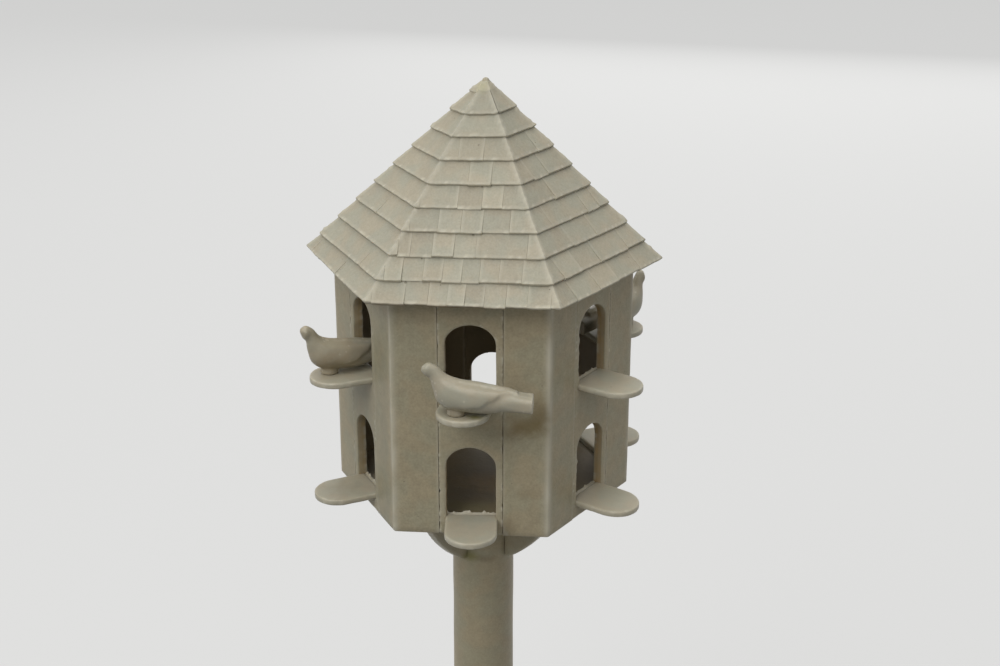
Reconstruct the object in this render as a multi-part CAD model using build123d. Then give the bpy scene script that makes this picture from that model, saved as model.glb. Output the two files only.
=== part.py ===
from build123d import *

import math
import os

# A cast-resin scale model of a six-sided dovecote on a round post, at the model's own size.
#
# Millimetres, +Z up. The origin is the middle of the post's flat foot, and the front wall faces -Y.
# A heading is an angle about the post, from the front wall (0) towards +X (90).

# ---- driving dimensions ------------------------------------------------------------------------

# Post, cast as a plain round rod.
POST_RADIUS = 3.2
POST_HEIGHT = 68.0  # foot to the underside of the house

# House: six walls of three upright boards each, round one undivided room.
SIDE_COUNT = 6
WALL_REACH = 12.94  # post axis to the outer face of a wall
WALL_THICKNESS = 1.1
WALL_HEIGHT = 24.4
HOLE_BOARD_WIDTH = 6.16
BOARD_GAP = 0.06  # open joint between neighbouring boards of one wall
GLUE_GAP = 0.02  # glue line wherever two castings meet face to face

# Nest holes, two to a wall, with flattened arches.
HOLE_WIDTH = 4.8
HOLE_HEIGHT = 7.3  # above the sill
ARCH_RISE = 2.0
LOWER_SILL = 1.85  # above the underside of the house
UPPER_SILL = 14.25

# Floor of the room, with a round socket underneath for the post.
FLOOR_THICKNESS = 1.3
SOCKET_DEPTH = 0.6

# Landing boards, one in each hole: it lies on the bottom of the hole, right through the wall, and its
# top is the sill.
LANDING_REACH = 5.35  # out from the wall
LANDING_WIDTH = 4.5
LANDING_THICKNESS = 0.62
LANDING_EDGE_ROUND = 0.2
LANDING_SKEW = {"front_upper": -7.0, "front_lower": 4.0}  # glued in askew, and how far they are turned

# Brackets between post and floor, on the four arms of a cross.
BRACKET_COUNT = 4
BRACKET_SET_BACK = 3.04  # how far their tips stay inside the outer faces of the walls
BRACKET_DROP = 8.0  # down from the floor
BRACKET_THICKNESS = 0.95
BRACKET_BULGE = 0.72  # how far the curved edge stands outside a straight one
BRACKET_TOE = 0.56  # the blunt ends, at the post and at the floor
BRACKET_TURN = 56.0  # heading of the first bracket

# Roof, one casting with a stepped edge for each course of shingles.
EAVES_OVERHANG = 2.56  # how far the eaves corners stand out beyond the corners of the house
ROOF_HEIGHT = 17.55
EAVES_STEP = 1.5  # how much less the second course reaches out than the eaves course
COURSE_COUNT = 9
CAP_CORNER_REACH = 1.25  # lower edge of the cap over the top course
APEX_CORNER_REACH = 0.3  # the blunt top of the cap
SHINGLE_BUTT = 0.3  # thickness that shows along the lower edge of a course
ROOF_TURN = -1.7  # the roof was glued on slightly turned
APEX_LEAN = 0.35  # the apex of the casting stands off its axis, towards +X

# Pigeons, each cast with a small foot under the breast. A pair of points on the back and belly gives
# one section of the body: how far along it is from the foot, how high above the board, and half the
# width there, all as shares of the length from beak to tail.
PIGEON_LENGTH = 10.25
PIGEON_SECTIONS = [
    # back along, back up, belly along, belly up, half width
    (0.305, 0.453, 0.312, 0.401, 0.021),  # beak
    (0.244, 0.487, 0.271, 0.366, 0.054),  # crown and chin
    (0.172, 0.461, 0.230, 0.334, 0.051),  # neck
    (0.100, 0.395, 0.207, 0.242, 0.073),
    (0.037, 0.364, 0.168, 0.127, 0.107),  # shoulder and breast
    (-0.027, 0.344, 0.075, 0.059, 0.132),
    (-0.115, 0.318, -0.060, 0.036, 0.139),  # widest
    (-0.214, 0.295, -0.196, 0.026, 0.135),
    (-0.322, 0.274, -0.322, 0.028, 0.117),  # wing tips
    (-0.449, 0.245, -0.449, 0.050, 0.107),
    (-0.566, 0.212, -0.566, 0.057, 0.109),
    (-0.688, 0.201, -0.688, 0.051, 0.117),  # blunt end of the tail
]
NECK_SECTIONS = 4  # how many of them bend with the neck
NECK_ROOT = (0.049, 0.239)  # along and up, the point that the neck bends about
PIGEON_FOOT = (0.17, 0.16, 0.127)  # length, width and height, tall enough to run up into the breast

# Where each pigeon stands, on an upper landing board: the wall, how far out along the board its foot
# is as a share of the board's reach, how far off the middle as a share of the board's width, how far
# it is turned from facing straight out, and how far its neck is raised, both in degrees.
PIGEONS = {
    "front": ("front", 0.68, -0.19, -90.0, 0.0),
    "left": ("left_front", 0.60, -0.12, 2.0, 9.0),
    "rear": ("right_rear", 0.72, 0.09, 15.0, 20.0),
}

# ---- places worked out from them ---------------------------------------------------------------

SIDE_ANGLE = 360.0 / SIDE_COUNT
HALF_CORNER = math.radians(SIDE_ANGLE / 2)
WALL_NAMES = ["front", "right_front", "right_rear", "rear", "left_rear", "left_front"]
WALLS = {name: place * SIDE_ANGLE for place, name in enumerate(WALL_NAMES)}
EAVES_HEIGHT = POST_HEIGHT + WALL_HEIGHT
ROOM_REACH = WALL_REACH - WALL_THICKNESS
ROOF_CORNER_REACH = WALL_REACH / math.cos(HALF_CORNER) + EAVES_OVERHANG
SILLS = {"lower": POST_HEIGHT + LOWER_SILL, "upper": POST_HEIGHT + UPPER_SILL}


def turned(heading, piece):
    """A piece drawn at the front wall, carried round the post to a heading."""
    return Rot(0, 0, heading) * piece


def upright_prism(outline, bottom, top):
    """A solid over a flat outline of (x, y) points, from one height to another."""
    face = make_face(Polyline(*outline, close=True))
    return Pos(0, 0, bottom) * extrude(face, top - bottom, dir=(0, 0, 1))


# ---- walls -------------------------------------------------------------------------------------


def side_board(hand):
    """The plain board beside the hole board, mitred at the corner: hand is -1 for left, 1 for right."""
    inner_edge = HOLE_BOARD_WIDTH / 2 + BOARD_GAP
    mitre_gap = GLUE_GAP / 2 / math.cos(HALF_CORNER)
    outside = WALL_REACH * math.tan(HALF_CORNER) - mitre_gap
    inside = ROOM_REACH * math.tan(HALF_CORNER) - mitre_gap
    outline = [
        (hand * inner_edge, -WALL_REACH),
        (hand * outside, -WALL_REACH),
        (hand * inside, -ROOM_REACH),
        (hand * inner_edge, -ROOM_REACH),
    ]
    return upright_prism(outline, POST_HEIGHT, EAVES_HEIGHT - GLUE_GAP)


def arched_hole(sill):
    """The space of a nest hole and the landing board in it, right through the wall."""
    half = HOLE_WIDTH / 2
    bottom = -LANDING_THICKNESS - GLUE_GAP
    spring = HOLE_HEIGHT - ARCH_RISE
    sides = Polyline((-half, spring), (-half, bottom), (half, bottom), (half, spring))
    arch = EllipticalCenterArc((0, spring), half, ARCH_RISE, start_angle=0, arc_size=180)
    face = Plane.XZ * make_face([sides, arch])
    return Pos(0, -ROOM_REACH, sill) * extrude(face, WALL_THICKNESS * 2, both=True)


def hole_board():
    """The middle board of a wall, with both of its nest holes."""
    half = HOLE_BOARD_WIDTH / 2
    outline = [(-half, -WALL_REACH), (half, -WALL_REACH), (half, -ROOM_REACH), (-half, -ROOM_REACH)]
    board = upright_prism(outline, POST_HEIGHT, EAVES_HEIGHT - GLUE_GAP)
    for sill in SILLS.values():
        board -= arched_hole(sill)
    return board


# ---- floor, post and brackets ------------------------------------------------------------------


def floor_plate():
    """The floor of the room, let in between the walls, with the post's socket underneath."""
    corner = (ROOM_REACH - GLUE_GAP) / math.cos(HALF_CORNER)
    plate = extrude(RegularPolygon(corner, SIDE_COUNT), FLOOR_THICKNESS)
    socket = extrude(Circle(POST_RADIUS + GLUE_GAP), SOCKET_DEPTH)
    return Pos(0, 0, POST_HEIGHT) * (plate - socket)


def post():
    """The round post, from its flat foot to the top of the socket in the floor."""
    return extrude(Circle(POST_RADIUS), POST_HEIGHT + SOCKET_DEPTH - GLUE_GAP)


def bracket():
    """A plate bracket under the floor, standing out from the front of the post, its free edge curved."""
    root = POST_RADIUS + GLUE_GAP
    tip = WALL_REACH - BRACKET_SET_BACK
    upper_end = Vector(tip, -GLUE_GAP - BRACKET_TOE)
    lower_end = Vector(root + BRACKET_TOE, -BRACKET_DROP)
    chord = upper_end - lower_end
    bulge = Vector(chord.Y, -chord.X).normalized() * BRACKET_BULGE
    edges = [
        Polyline(lower_end, (0, -BRACKET_DROP), (0, -GLUE_GAP), (tip, -GLUE_GAP), upper_end),
        ThreePointArc(upper_end, (upper_end + lower_end) / 2 + bulge, lower_end),
    ]
    plate = extrude(Plane.XZ * make_face(edges), BRACKET_THICKNESS / 2, both=True)
    plate -= Pos(0, 0, -BRACKET_DROP) * extrude(Circle(root), BRACKET_DROP)
    return Pos(0, 0, POST_HEIGHT) * Rot(0, 0, -90) * plate


# ---- landing boards ----------------------------------------------------------------------------


def landing_board(sill, skew):
    """A board with a round outer end, through the wall, turned by its skew and flush with the room."""
    half = LANDING_WIDTH / 2
    round_start = -WALL_REACH - LANDING_REACH + half
    edges = [
        Polyline((-half, round_start), (-half, -ROOM_REACH), (half, -ROOM_REACH), (half, round_start)),
        ThreePointArc((-half, round_start), (0, round_start - half), (half, round_start)),
    ]
    board = extrude(make_face(edges), LANDING_THICKNESS)
    rim = board.edges().filter_by(Plane.XY).filter_by(lambda edge: edge.center().Y < -ROOM_REACH)
    middle_of_wall = Pos(0, -ROOM_REACH - WALL_THICKNESS / 2, 0)
    skewed = middle_of_wall * Rot(0, 0, skew) * middle_of_wall.inverse() * fillet(rim, LANDING_EDGE_ROUND)
    flush = split(skewed, bisect_by=Plane.XZ.offset(ROOM_REACH), keep=Keep.TOP)
    return Pos(0, 0, sill - LANDING_THICKNESS) * flush


# ---- pigeons -----------------------------------------------------------------------------------


def raised(along, up, angle):
    """A point of the head or neck, turned upwards about the root of the neck, in millimetres."""
    root_along, root_up = NECK_ROOT
    rest = Vector(along - root_along, up - root_up)
    turned_rest = rest.rotate(Axis.Z, angle)
    return Vector(0, -root_along - turned_rest.X, root_up + turned_rest.Y) * PIGEON_LENGTH


def pigeon(neck_raise):
    """A standing pigeon facing -Y, its foot centred on the origin."""
    sections = []
    for place, (back_along, back_up, belly_along, belly_up, half_width) in enumerate(PIGEON_SECTIONS):
        bend = neck_raise * max(0.0, 1 - place / NECK_SECTIONS)
        back = raised(back_along, back_up, bend)
        belly = raised(belly_along, belly_up, bend)
        height = back - belly
        plane = Plane((back + belly) / 2, x_dir=(1, 0, 0), z_dir=Vector(1, 0, 0).cross(height))
        sections.append(plane * Ellipse(half_width * PIGEON_LENGTH, height.length / 2))
    foot_length, foot_width, foot_height = (share * PIGEON_LENGTH for share in PIGEON_FOOT)
    return loft(sections) + extrude(Ellipse(foot_width / 2, foot_length / 2), foot_height)


def placed_pigeon(wall, out, off_centre, turn, neck_raise):
    """A pigeon standing on the upper landing board of a wall."""
    along = off_centre * LANDING_WIDTH
    stand = Pos(along, -WALL_REACH - out * LANDING_REACH, SILLS["upper"] + GLUE_GAP)
    return turned(WALLS[wall], stand * Rot(0, 0, turn) * pigeon(neck_raise))


# ---- roof --------------------------------------------------------------------------------------


def roof():
    """The roof casting: tapering courses, each with its lower edge proud of the course below."""
    run = ROOF_CORNER_REACH * math.cos(HALF_CORNER)
    slope = math.hypot(run, ROOF_HEIGHT)
    butt_out = SHINGLE_BUTT * ROOF_HEIGHT / slope / math.cos(HALF_CORNER)
    butt_up = SHINGLE_BUTT * run / slope
    second_reach = ROOF_CORNER_REACH - EAVES_STEP
    step = (second_reach - CAP_CORNER_REACH) / (COURSE_COUNT - 1)
    reaches = [ROOF_CORNER_REACH] + [second_reach - step * place for place in range(COURSE_COUNT)]

    def ring(reach, height):
        lean = APEX_LEAN * height / ROOF_HEIGHT
        return Pos(lean, 0, height) * RegularPolygon(reach, SIDE_COUNT)

    rings = []
    for reach in reaches:
        height = ROOF_HEIGHT * (1 - reach / ROOF_CORNER_REACH)
        rings += [ring(reach - butt_out, height), ring(reach, height + butt_up)]
    rings.append(ring(APEX_CORNER_REACH, ROOF_HEIGHT))
    return Pos(0, 0, EAVES_HEIGHT) * Rot(0, 0, ROOF_TURN) * loft(rings, ruled=True)


# ---- assembly ----------------------------------------------------------------------------------


def all_pieces():
    """Every piece in its place, by name."""
    pieces = {"post": post(), "floor_plate": floor_plate(), "roof": roof()}
    for place in range(BRACKET_COUNT):
        heading = BRACKET_TURN + place * 360.0 / BRACKET_COUNT
        pieces[f"bracket_{place + 1}"] = turned(heading, bracket())
    for wall, heading in WALLS.items():
        pieces[f"{wall}_left_board"] = turned(heading, side_board(-1))
        pieces[f"{wall}_hole_board"] = turned(heading, hole_board())
        pieces[f"{wall}_right_board"] = turned(heading, side_board(1))
        for level, sill in SILLS.items():
            hole = f"{wall}_{level}"
            pieces[f"{hole}_landing"] = turned(heading, landing_board(sill, LANDING_SKEW.get(hole, 0.0)))
    for name, stand in PIGEONS.items():
        pieces[f"{name}_pigeon"] = placed_pigeon(*stand)
    return pieces


def write_parts():
    """One STEP file for each piece."""
    os.makedirs("parts", exist_ok=True)
    for name, piece in all_pieces().items():
        export_step(piece, f"parts/{name}.step")
        print(f"{name}: {piece.volume:.2f} cubic mm")


write_parts()
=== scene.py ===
# %% [markdown]
# This lesson dresses a small model of a dovecote: six walls of upright boards with two nest holes
# each, a steep shingled roof, landing boards, three pigeons and a round post. The real one is cast
# in grey-beige resin and left unpainted, so its whole look is shape, soft edges and small casting
# marks. The packed solids are loaded first, because every piece made here has to fit them.

# %% Load the packed model
import bisect
import math
import random

import bmesh
import bpy
from mathutils import Matrix, Vector, noise


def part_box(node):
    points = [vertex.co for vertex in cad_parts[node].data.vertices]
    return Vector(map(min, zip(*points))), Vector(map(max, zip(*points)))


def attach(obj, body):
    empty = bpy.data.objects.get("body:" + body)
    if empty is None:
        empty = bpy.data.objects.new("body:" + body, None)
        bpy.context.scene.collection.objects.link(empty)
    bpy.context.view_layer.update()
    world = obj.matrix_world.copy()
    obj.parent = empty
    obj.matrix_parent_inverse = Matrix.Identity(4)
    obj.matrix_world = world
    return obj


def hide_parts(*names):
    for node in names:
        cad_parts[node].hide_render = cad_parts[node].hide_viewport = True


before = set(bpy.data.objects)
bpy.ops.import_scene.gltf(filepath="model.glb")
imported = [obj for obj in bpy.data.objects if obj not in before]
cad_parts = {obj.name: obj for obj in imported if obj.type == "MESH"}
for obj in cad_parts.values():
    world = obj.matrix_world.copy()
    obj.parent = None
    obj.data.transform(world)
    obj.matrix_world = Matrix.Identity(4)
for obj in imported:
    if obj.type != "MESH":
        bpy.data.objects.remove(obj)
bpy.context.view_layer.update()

print("nodes in the packed model:", len(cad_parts))

# %% [markdown]
# Everything below is drawn in millimetres, the unit such a model is measured in, and turned into
# metres when a piece is put in place. Places come from the packed solids, so a piece can't drift.
# Only sizes inside a solid, such as the arch of a nest hole, are listed, where they are first
# needed.

# %% Sizes taken from the packed solids
MM = 0.001


def measured(node):
    """Lowest and highest corner of a solid, in millimetres."""
    return [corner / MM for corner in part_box(node)]


board_low, board_high = measured("front_hole_board")
landing_low, landing_high = measured("front_lower_landing")
post_high = measured("post")[1]
roof_low, roof_high = measured("roof")

WALL_REACH = -board_low.y
ROOM_REACH = -board_high.y
WALL_THICKNESS = WALL_REACH - ROOM_REACH
HOUSE_FOOT = board_low.z
HOUSE_TOP = board_high.z
HOLE_BOARD_HALF = board_high.x
LANDING_THICKNESS = landing_high.z - landing_low.z
LANDING_REACH = -landing_low.y - WALL_REACH
LANDING_HALF = landing_high.x
POST_RADIUS = post_high.x
POST_TOP = post_high.z
FLOOR_TOP = measured("floor_plate")[1].z
EAVES = roof_low.z
ROOF_HEIGHT = roof_high.z - roof_low.z
print(f"house from {HOUSE_FOOT:.2f} to {HOUSE_TOP:.2f} mm, walls {WALL_REACH:.2f} mm out")

# %% Six walls round the post
WALL_NAMES = ["front", "right_front", "right_rear", "rear", "left_rear", "left_front"]
HEADINGS = {wall: 60 * place for place, wall in enumerate(WALL_NAMES)}
HALF_CORNER = math.radians(30)
GLUE_GAP = 0.02
SILLS = {"lower": landing_high.z, "upper": measured("front_upper_landing")[1].z}


def swung(degrees):
    """Carries a piece drawn at the front wall round the post."""
    return Matrix.Rotation(math.radians(degrees), 4, "Z")


print("headings:", HEADINGS, "sills:", {level: round(sill, 2) for level, sill in SILLS.items()})

# %% [markdown]
# The finishes come first. Each is a sum of small effects: cloudy tone, fine grain, pits from air
# bubbles, grime in the joints. In the node editor such a sum is a tangle of Math nodes. Written as
# arithmetic it reads well, so one small class wraps a socket and adds a Math node for each sign.
# The forms with an r in their name are called when a plain number stands on the left.

# %% Arithmetic on sockets
class Shade:
    """A value that changes over a surface. Arithmetic on it adds Math nodes."""

    def __init__(self, recipe, socket):
        self.recipe = recipe
        self.socket = socket

    def output(self, name):
        """Another output of the same node."""
        return Shade(self.recipe, self.socket.node.outputs[name])

    def maths(self, operation, first, second=0.0):
        """A Math node on two values, each a shade or a number."""
        return self.recipe.add("Math", {"operation": operation}, {0: first, 1: second})

    def __add__(self, other):
        return self.maths("ADD", self, other)

    def __radd__(self, other):
        return self.maths("ADD", other, self)

    def __sub__(self, other):
        return self.maths("SUBTRACT", self, other)

    def __rsub__(self, other):
        return self.maths("SUBTRACT", other, self)

    def __mul__(self, other):
        return self.maths("MULTIPLY", self, other)

    def __rmul__(self, other):
        return self.maths("MULTIPLY", other, self)

    def __abs__(self):
        return self.maths("ABSOLUTE", self)

    def largest(self, other):
        """The larger of the two at each point."""
        return self.maths("MAXIMUM", self, other)


forms = [name for name, value in vars(Shade).items() if callable(value)]
print("a shade understands:", ", ".join(forms))

# %% [markdown]
# Any other node comes from one method, which takes the node's type, its settings and what goes
# into its sockets. Around it are the few nodes that every finish needs: where a point is, soft
# noise, a ramp and a mix of two colours. Places are in millimetres, so every size of a blotch or a
# bubble below is its real size.

# %% Nodes of a finish
class Recipe:
    """The nodes of one material, or of the world."""

    def __init__(self, owner):
        self.owner = owner
        owner.use_nodes = True
        self.tree = owner.node_tree
        self.tree.nodes.clear()

    def add(self, kind, settings, sockets):
        """One node: its settings first, then the values or links of its sockets."""
        node = self.tree.nodes.new("ShaderNode" + kind)
        for name, value in settings.items():
            setattr(node, name, value)
        for name, value in sockets.items():
            if isinstance(value, Shade):
                self.tree.links.new(value.socket, node.inputs[name])
            else:
                node.inputs[name].default_value = value
        outputs = [socket for socket in node.outputs if socket.enabled]
        return Shade(self, outputs[0]) if outputs else node

    def spot(self):
        """The place on the model, in millimetres from the middle of the post's foot."""
        here = self.add("TexCoord", {}, {}).output("Object")
        return self.scaled(here, (1 / MM, 1 / MM, 1 / MM))

    def scaled(self, vector, factors):
        """A vector with each of its parts times a factor."""
        return self.add("VectorMath", {"operation": "MULTIPLY"}, {0: vector, 1: factors})

    def cloud(self, place, size, detail=2.0):
        """Soft noise from 0 to 1 with blotches of a given size."""
        return self.add("TexNoise", {}, {"Vector": place, "Scale": 1 / size, "Detail": detail})

    def ramp(self, value, low, high, bottom=0.0, top=1.0):
        """Bottom below low, top above high, and smooth between."""
        settings = {"interpolation_type": "SMOOTHSTEP"}
        return self.add("MapRange", settings, {0: value, 1: low, 2: high, 3: bottom, 4: top})

    def mix(self, factor, first, second):
        """One colour over another."""
        return self.add("Mix", {"data_type": "RGBA"}, {0: factor, 6: first, 7: second})


trial = Recipe(bpy.data.materials.new("trial"))
mask = 1 - trial.cloud(trial.spot(), 1.0) * 0.5
print("nodes:", len(trial.tree.nodes), "- the last one is to", mask.socket.node.operation.lower())
bpy.data.materials.remove(trial.owner)

# %% [markdown]
# Casting, glue and dirt leave marks, and some shadows are painted on as marks of the same kind. Air
# bubbles are round dots scattered at random, which a Voronoi pattern gives: a dot in the middle of
# each cell, kept in only a few of them. A stain, or a painted shadow, is a soft blot round a point,
# with its edge smeared by noise. These marks get a class of their own.

# %% Bubbles, pits and stains
class CastRecipe(Recipe):
    """The nodes of a finish of cast resin."""

    def mark(self, name, output="Fac"):
        """Something that every point of a mesh says about itself."""
        return self.add("Attribute", {"attribute_name": name}, {}).output(output)

    def dots(self, place, spacing, radius, share):
        """Round dots, about one to each cell of the spacing, of which only a share is kept."""
        cells = self.add("TexVoronoi", {}, {"Vector": place, "Scale": 1 / spacing})
        chosen = self.add("SeparateColor", {}, {0: cells.output("Color")})
        reach = radius / spacing
        round_dots = self.ramp(cells, reach * 0.5, reach, 1.0, 0.0)
        return round_dots * self.ramp(chosen, share, share + 0.01, 1.0, 0.0)

    def away_from(self, centre, place):
        """The way from a centre to a place."""
        return self.add("VectorMath", {"operation": "SUBTRACT"}, {0: place, 1: centre})

    def length(self, vector):
        """How long a vector is."""
        return self.add("VectorMath", {"operation": "LENGTH"}, {0: vector}).output("Value")

    def blot(self, place, centre, reach):
        """A soft stain round a point, as wide in each direction as reach says."""
        offset = self.scaled(self.away_from(centre, place), tuple(1 / r for r in reach))
        smeared = self.length(offset) + (self.cloud(place, 0.9, 3.0) - 0.5) * 0.8
        return self.ramp(smeared, 0.0, 1.1, 1.0, 0.0)

    def pit(self, place, centre, radius):
        """One small dark hole."""
        distance = self.length(self.away_from(centre, place))
        return self.ramp(distance, radius * 0.5, radius, 1.0, 0.0)


print("a cast finish adds:", ", ".join(name for name in vars(CastRecipe) if "__" not in name))

# %% [markdown]
# The resin is a warm grey-beige. It could be one colour with a noise over it, but real resin
# changes for several reasons: it is cloudy where its two parts mixed unevenly, dirty in the inner
# corners, pale at worn edges and paler still where thin flash was left by the mould. So the tones
# are listed one by one, as colours of light between 0 and 1.

# %% Tones of the resin
RESIN = (0.400, 0.368, 0.280)
# the same resin, painted darker and browner as shade, for the walls, floor, post and brackets
SHADED_WALL_TONE = (0.368, 0.322, 0.217)
LANDING_TONE = (0.422, 0.388, 0.294)
# painted shade with dirt, for inner corners, bubbles and pits
RECESS_SHADE_AND_DIRT = (0.150, 0.128, 0.086)
# pale wear, flash and painted highlight
PALE_WEAR_FLASH_AND_HIGHLIGHT = (0.560, 0.524, 0.415)
# pale flash and painted highlight on the roof
ROOF_FLASH_AND_HIGHLIGHT = (0.610, 0.572, 0.454)
BROWN = (0.150, 0.105, 0.050)
OLIVE = (0.230, 0.210, 0.070)
YELLOWED = (0.520, 0.490, 0.300)
GREYED = (0.215, 0.215, 0.160)
AMBER = (0.440, 0.290, 0.125)
DEEP_OCHRE = (0.172, 0.120, 0.036)


def paint(tone, red=1.0, blue=1.0):
    """A tone as a colour for a node, with a little more or less red and blue."""
    return (tone[0] * red, tone[1], tone[2] * blue, 1.0)


print("plain resin:", paint(RESIN), "and worn:", paint(PALE_WEAR_FLASH_AND_HIGHLIGHT))

# %% [markdown]
# The same few noises show in more than one way: a fleck of grain is a little darker, duller and
# lower than the resin round it. So they are made once for each finish, and the tone, the sheen and
# the bumps all read them. On the shingles, streaks run down the slope, which is a noise that has
# been drawn out one way.

# %% Grain of the resin
CLOUD_SIZE = 5.0
MOTTLE_SIZE = 0.8
GRAIN_SIZE = 0.20
STREAK_SIZE = 0.11
DRAWN_OUT = (1.0, 0.12, 1.0)


class Grain:
    """The noises that the tone, the sheen and the bumps of one finish share."""

    def __init__(self, recipe, place, shingled):
        self.clouds = recipe.cloud(place, CLOUD_SIZE) - 0.5
        self.mottling = recipe.cloud(place, MOTTLE_SIZE, 4.0) - 0.5
        self.fine = recipe.cloud(place, GRAIN_SIZE, 4.0) - 0.5
        self.bubbles = recipe.dots(place, spacing=1.3, radius=0.10, share=0.16)
        self.specks = recipe.dots(place, spacing=0.50, radius=0.06, share=0.10)
        self.streaks = None
        if shingled:
            along = recipe.scaled(recipe.mark("shingle_place", "Vector"), DRAWN_OUT)
            self.streaks = recipe.cloud(along, STREAK_SIZE, 2.0) - 0.5

    def lightness(self, recipe, mottle, fineness):
        """How light the resin is, about 1."""
        light = 1.0 + self.clouds * 0.16 + self.mottling * mottle + self.fine * fineness
        if self.streaks:
            # a tone for each shingle, with the painted shadow under the next course
            light = light + self.streaks * 0.10 + recipe.mark("shingle_tone_and_shadow")
        return light

    def bumps(self, recipe, place):
        """The fine relief of the skin, in millimetres."""
        waves = recipe.cloud(place, 1.1) - 0.5
        relief = self.fine * 0.017 + waves * 0.03 - self.bubbles * 0.05 + self.mottling * 0.015
        if self.streaks:
            relief = relief + self.streaks * 0.015
        return recipe.add("Bump", {}, {"Strength": 0.7, "Distance": MM, "Height": relief})


print(f"clouds {CLOUD_SIZE} mm, mottling {MOTTLE_SIZE} mm and fine grain {GRAIN_SIZE} mm in size")

# %% [markdown]
# The room behind the walls is painted brown as shade, since little light reaches it, and the cut
# faces of the nest holes are painted amber as the glow of light that thin resin lets through. Both
# could be painted on by hand. A distance does it as well: in a six-sided house, how far out a point
# is, measured square to the nearest wall, tells the room from the wall and the wall's inner part
# from its outer skin.

# %% Tone of the resin
COOLER = {"red": 0.968, "blue": 1.010}
WARMER = {"red": 1.028, "blue": 0.976}
# painted shade in the room, and painted light glowing through the cut faces
ROOM_PAINTED_SHADE = 0.72
CUT_PAINTED_GLOW = 0.62
# the amber of a cut face fades out between these depths under the outer skin
CUT_FADES = 0.28
CUT_SKIN = 0.10


def drifting(recipe, place, tone, light):
    """The tone, warmer here and cooler there, times how light it is."""
    drift = recipe.ramp(recipe.cloud(place, 2.3, 1.0), 0.36, 0.64)
    both = recipe.mix(drift, paint(tone, **COOLER), paint(tone, **WARMER))
    return recipe.add("VectorMath", {"operation": "SCALE"}, {0: both, "Scale": light})


def around_the_room(recipe, place, colour, mottling):
    """Painted amber light on the cut faces of the holes, and painted brown shade in the room."""
    parts = recipe.add("SeparateXYZ", {}, {0: place})
    ahead = abs(parts.output("Y"))
    aside = abs(parts.output("X")) * math.cos(HALF_CORNER) + ahead * math.sin(HALF_CORNER)
    out = ahead.largest(aside)
    above_floor = recipe.ramp(parts.output("Z"), FLOOR_TOP - 0.2, FLOOR_TOP - 0.1)
    past_room = recipe.ramp(out, ROOM_REACH + 0.02, ROOM_REACH + 0.22)
    fading = recipe.ramp(out, WALL_REACH - CUT_FADES, WALL_REACH - CUT_SKIN, 1.0, 0.0)
    cut = past_room * fading
    # painted light: amber where light comes through the thin resin of a cut face
    colour = recipe.mix(cut * above_floor * (CUT_PAINTED_GLOW + mottling * 0.9), colour, paint(AMBER))
    # painted shade: brown in the room behind the walls
    inside = recipe.ramp(out, ROOM_REACH, ROOM_REACH + 0.10, ROOM_PAINTED_SHADE, 0.0)
    return recipe.mix(inside * above_floor, colour, paint(BROWN))


print(f"brown up to {ROOM_REACH:.2f} mm out, plain wall from {WALL_REACH - CUT_SKIN:.2f} mm")

# %% [markdown]
# Pointiness tells edges from corners on a finely divided mesh, so it carries painted shade with
# dirt in the inner corners, and wear with a painted highlight on the outer edges. Flash can't be
# told from the shape, so each mesh says where it has some. All five finishes share one recipe and
# differ in tone, grain and sheen, because they are the same resin from different moulds.

# %% Wear, dirt, flash and painted light
SHADED_DIRTY_CORNER = (0.40, 0.49)
WORN_AND_LIT_EDGE = (0.52, 0.60)


def wear_and_painted_light(recipe, colour, noises, corner_shade_and_dirt, wear_and_highlight, speckle, flash_and_highlight_tone):
    """Painted shade with dirt in corners and bubbles, wear with painted highlight on edges, flash,
    specks.
    """
    edge = recipe.add("NewGeometry", {}, {}).output("Pointiness")
    # painted shade with dirt: darker in the inner corners, where shade falls
    colour = recipe.mix(recipe.ramp(edge, *SHADED_DIRTY_CORNER, corner_shade_and_dirt, 0.0), colour, paint(RECESS_SHADE_AND_DIRT))
    # wear with a painted highlight: paler on the outer edges
    colour = recipe.mix(recipe.ramp(edge, *WORN_AND_LIT_EDGE, 0.0, wear_and_highlight), colour, paint(PALE_WEAR_FLASH_AND_HIGHLIGHT))
    # painted shade with dirt: the open bubbles darker
    colour = recipe.mix(noises.bubbles * 0.5, colour, paint(RECESS_SHADE_AND_DIRT))
    # pale flash, with the painted highlights that some meshes store in the same mark
    pale = (recipe.mark("flash_and_highlight") * 0.8).largest(noises.specks * speckle)
    return recipe.mix(pale, colour, paint(flash_and_highlight_tone))


def with_blots(recipe, place, colour, blots, pits):
    """A blot, a stain or a painted shadow, is (centre, reach, tone, strength), a pit (centre,
    radius).
    """
    for centre, reach, tone, strength in blots:
        colour = recipe.mix(recipe.blot(place, centre, reach) * strength, colour, paint(tone))
    # a pit is painted dark: painted shade and dirt in the hole
    for centre, radius in pits:
        colour = recipe.mix(recipe.pit(place, centre, radius) * 0.85, colour, paint(RECESS_SHADE_AND_DIRT))
    return colour


# a dirty corner here is darkened by painted shade as well as dirt
print("pointiness of a dirty corner:", SHADED_DIRTY_CORNER, "and of a worn edge:", WORN_AND_LIT_EDGE)

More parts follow.
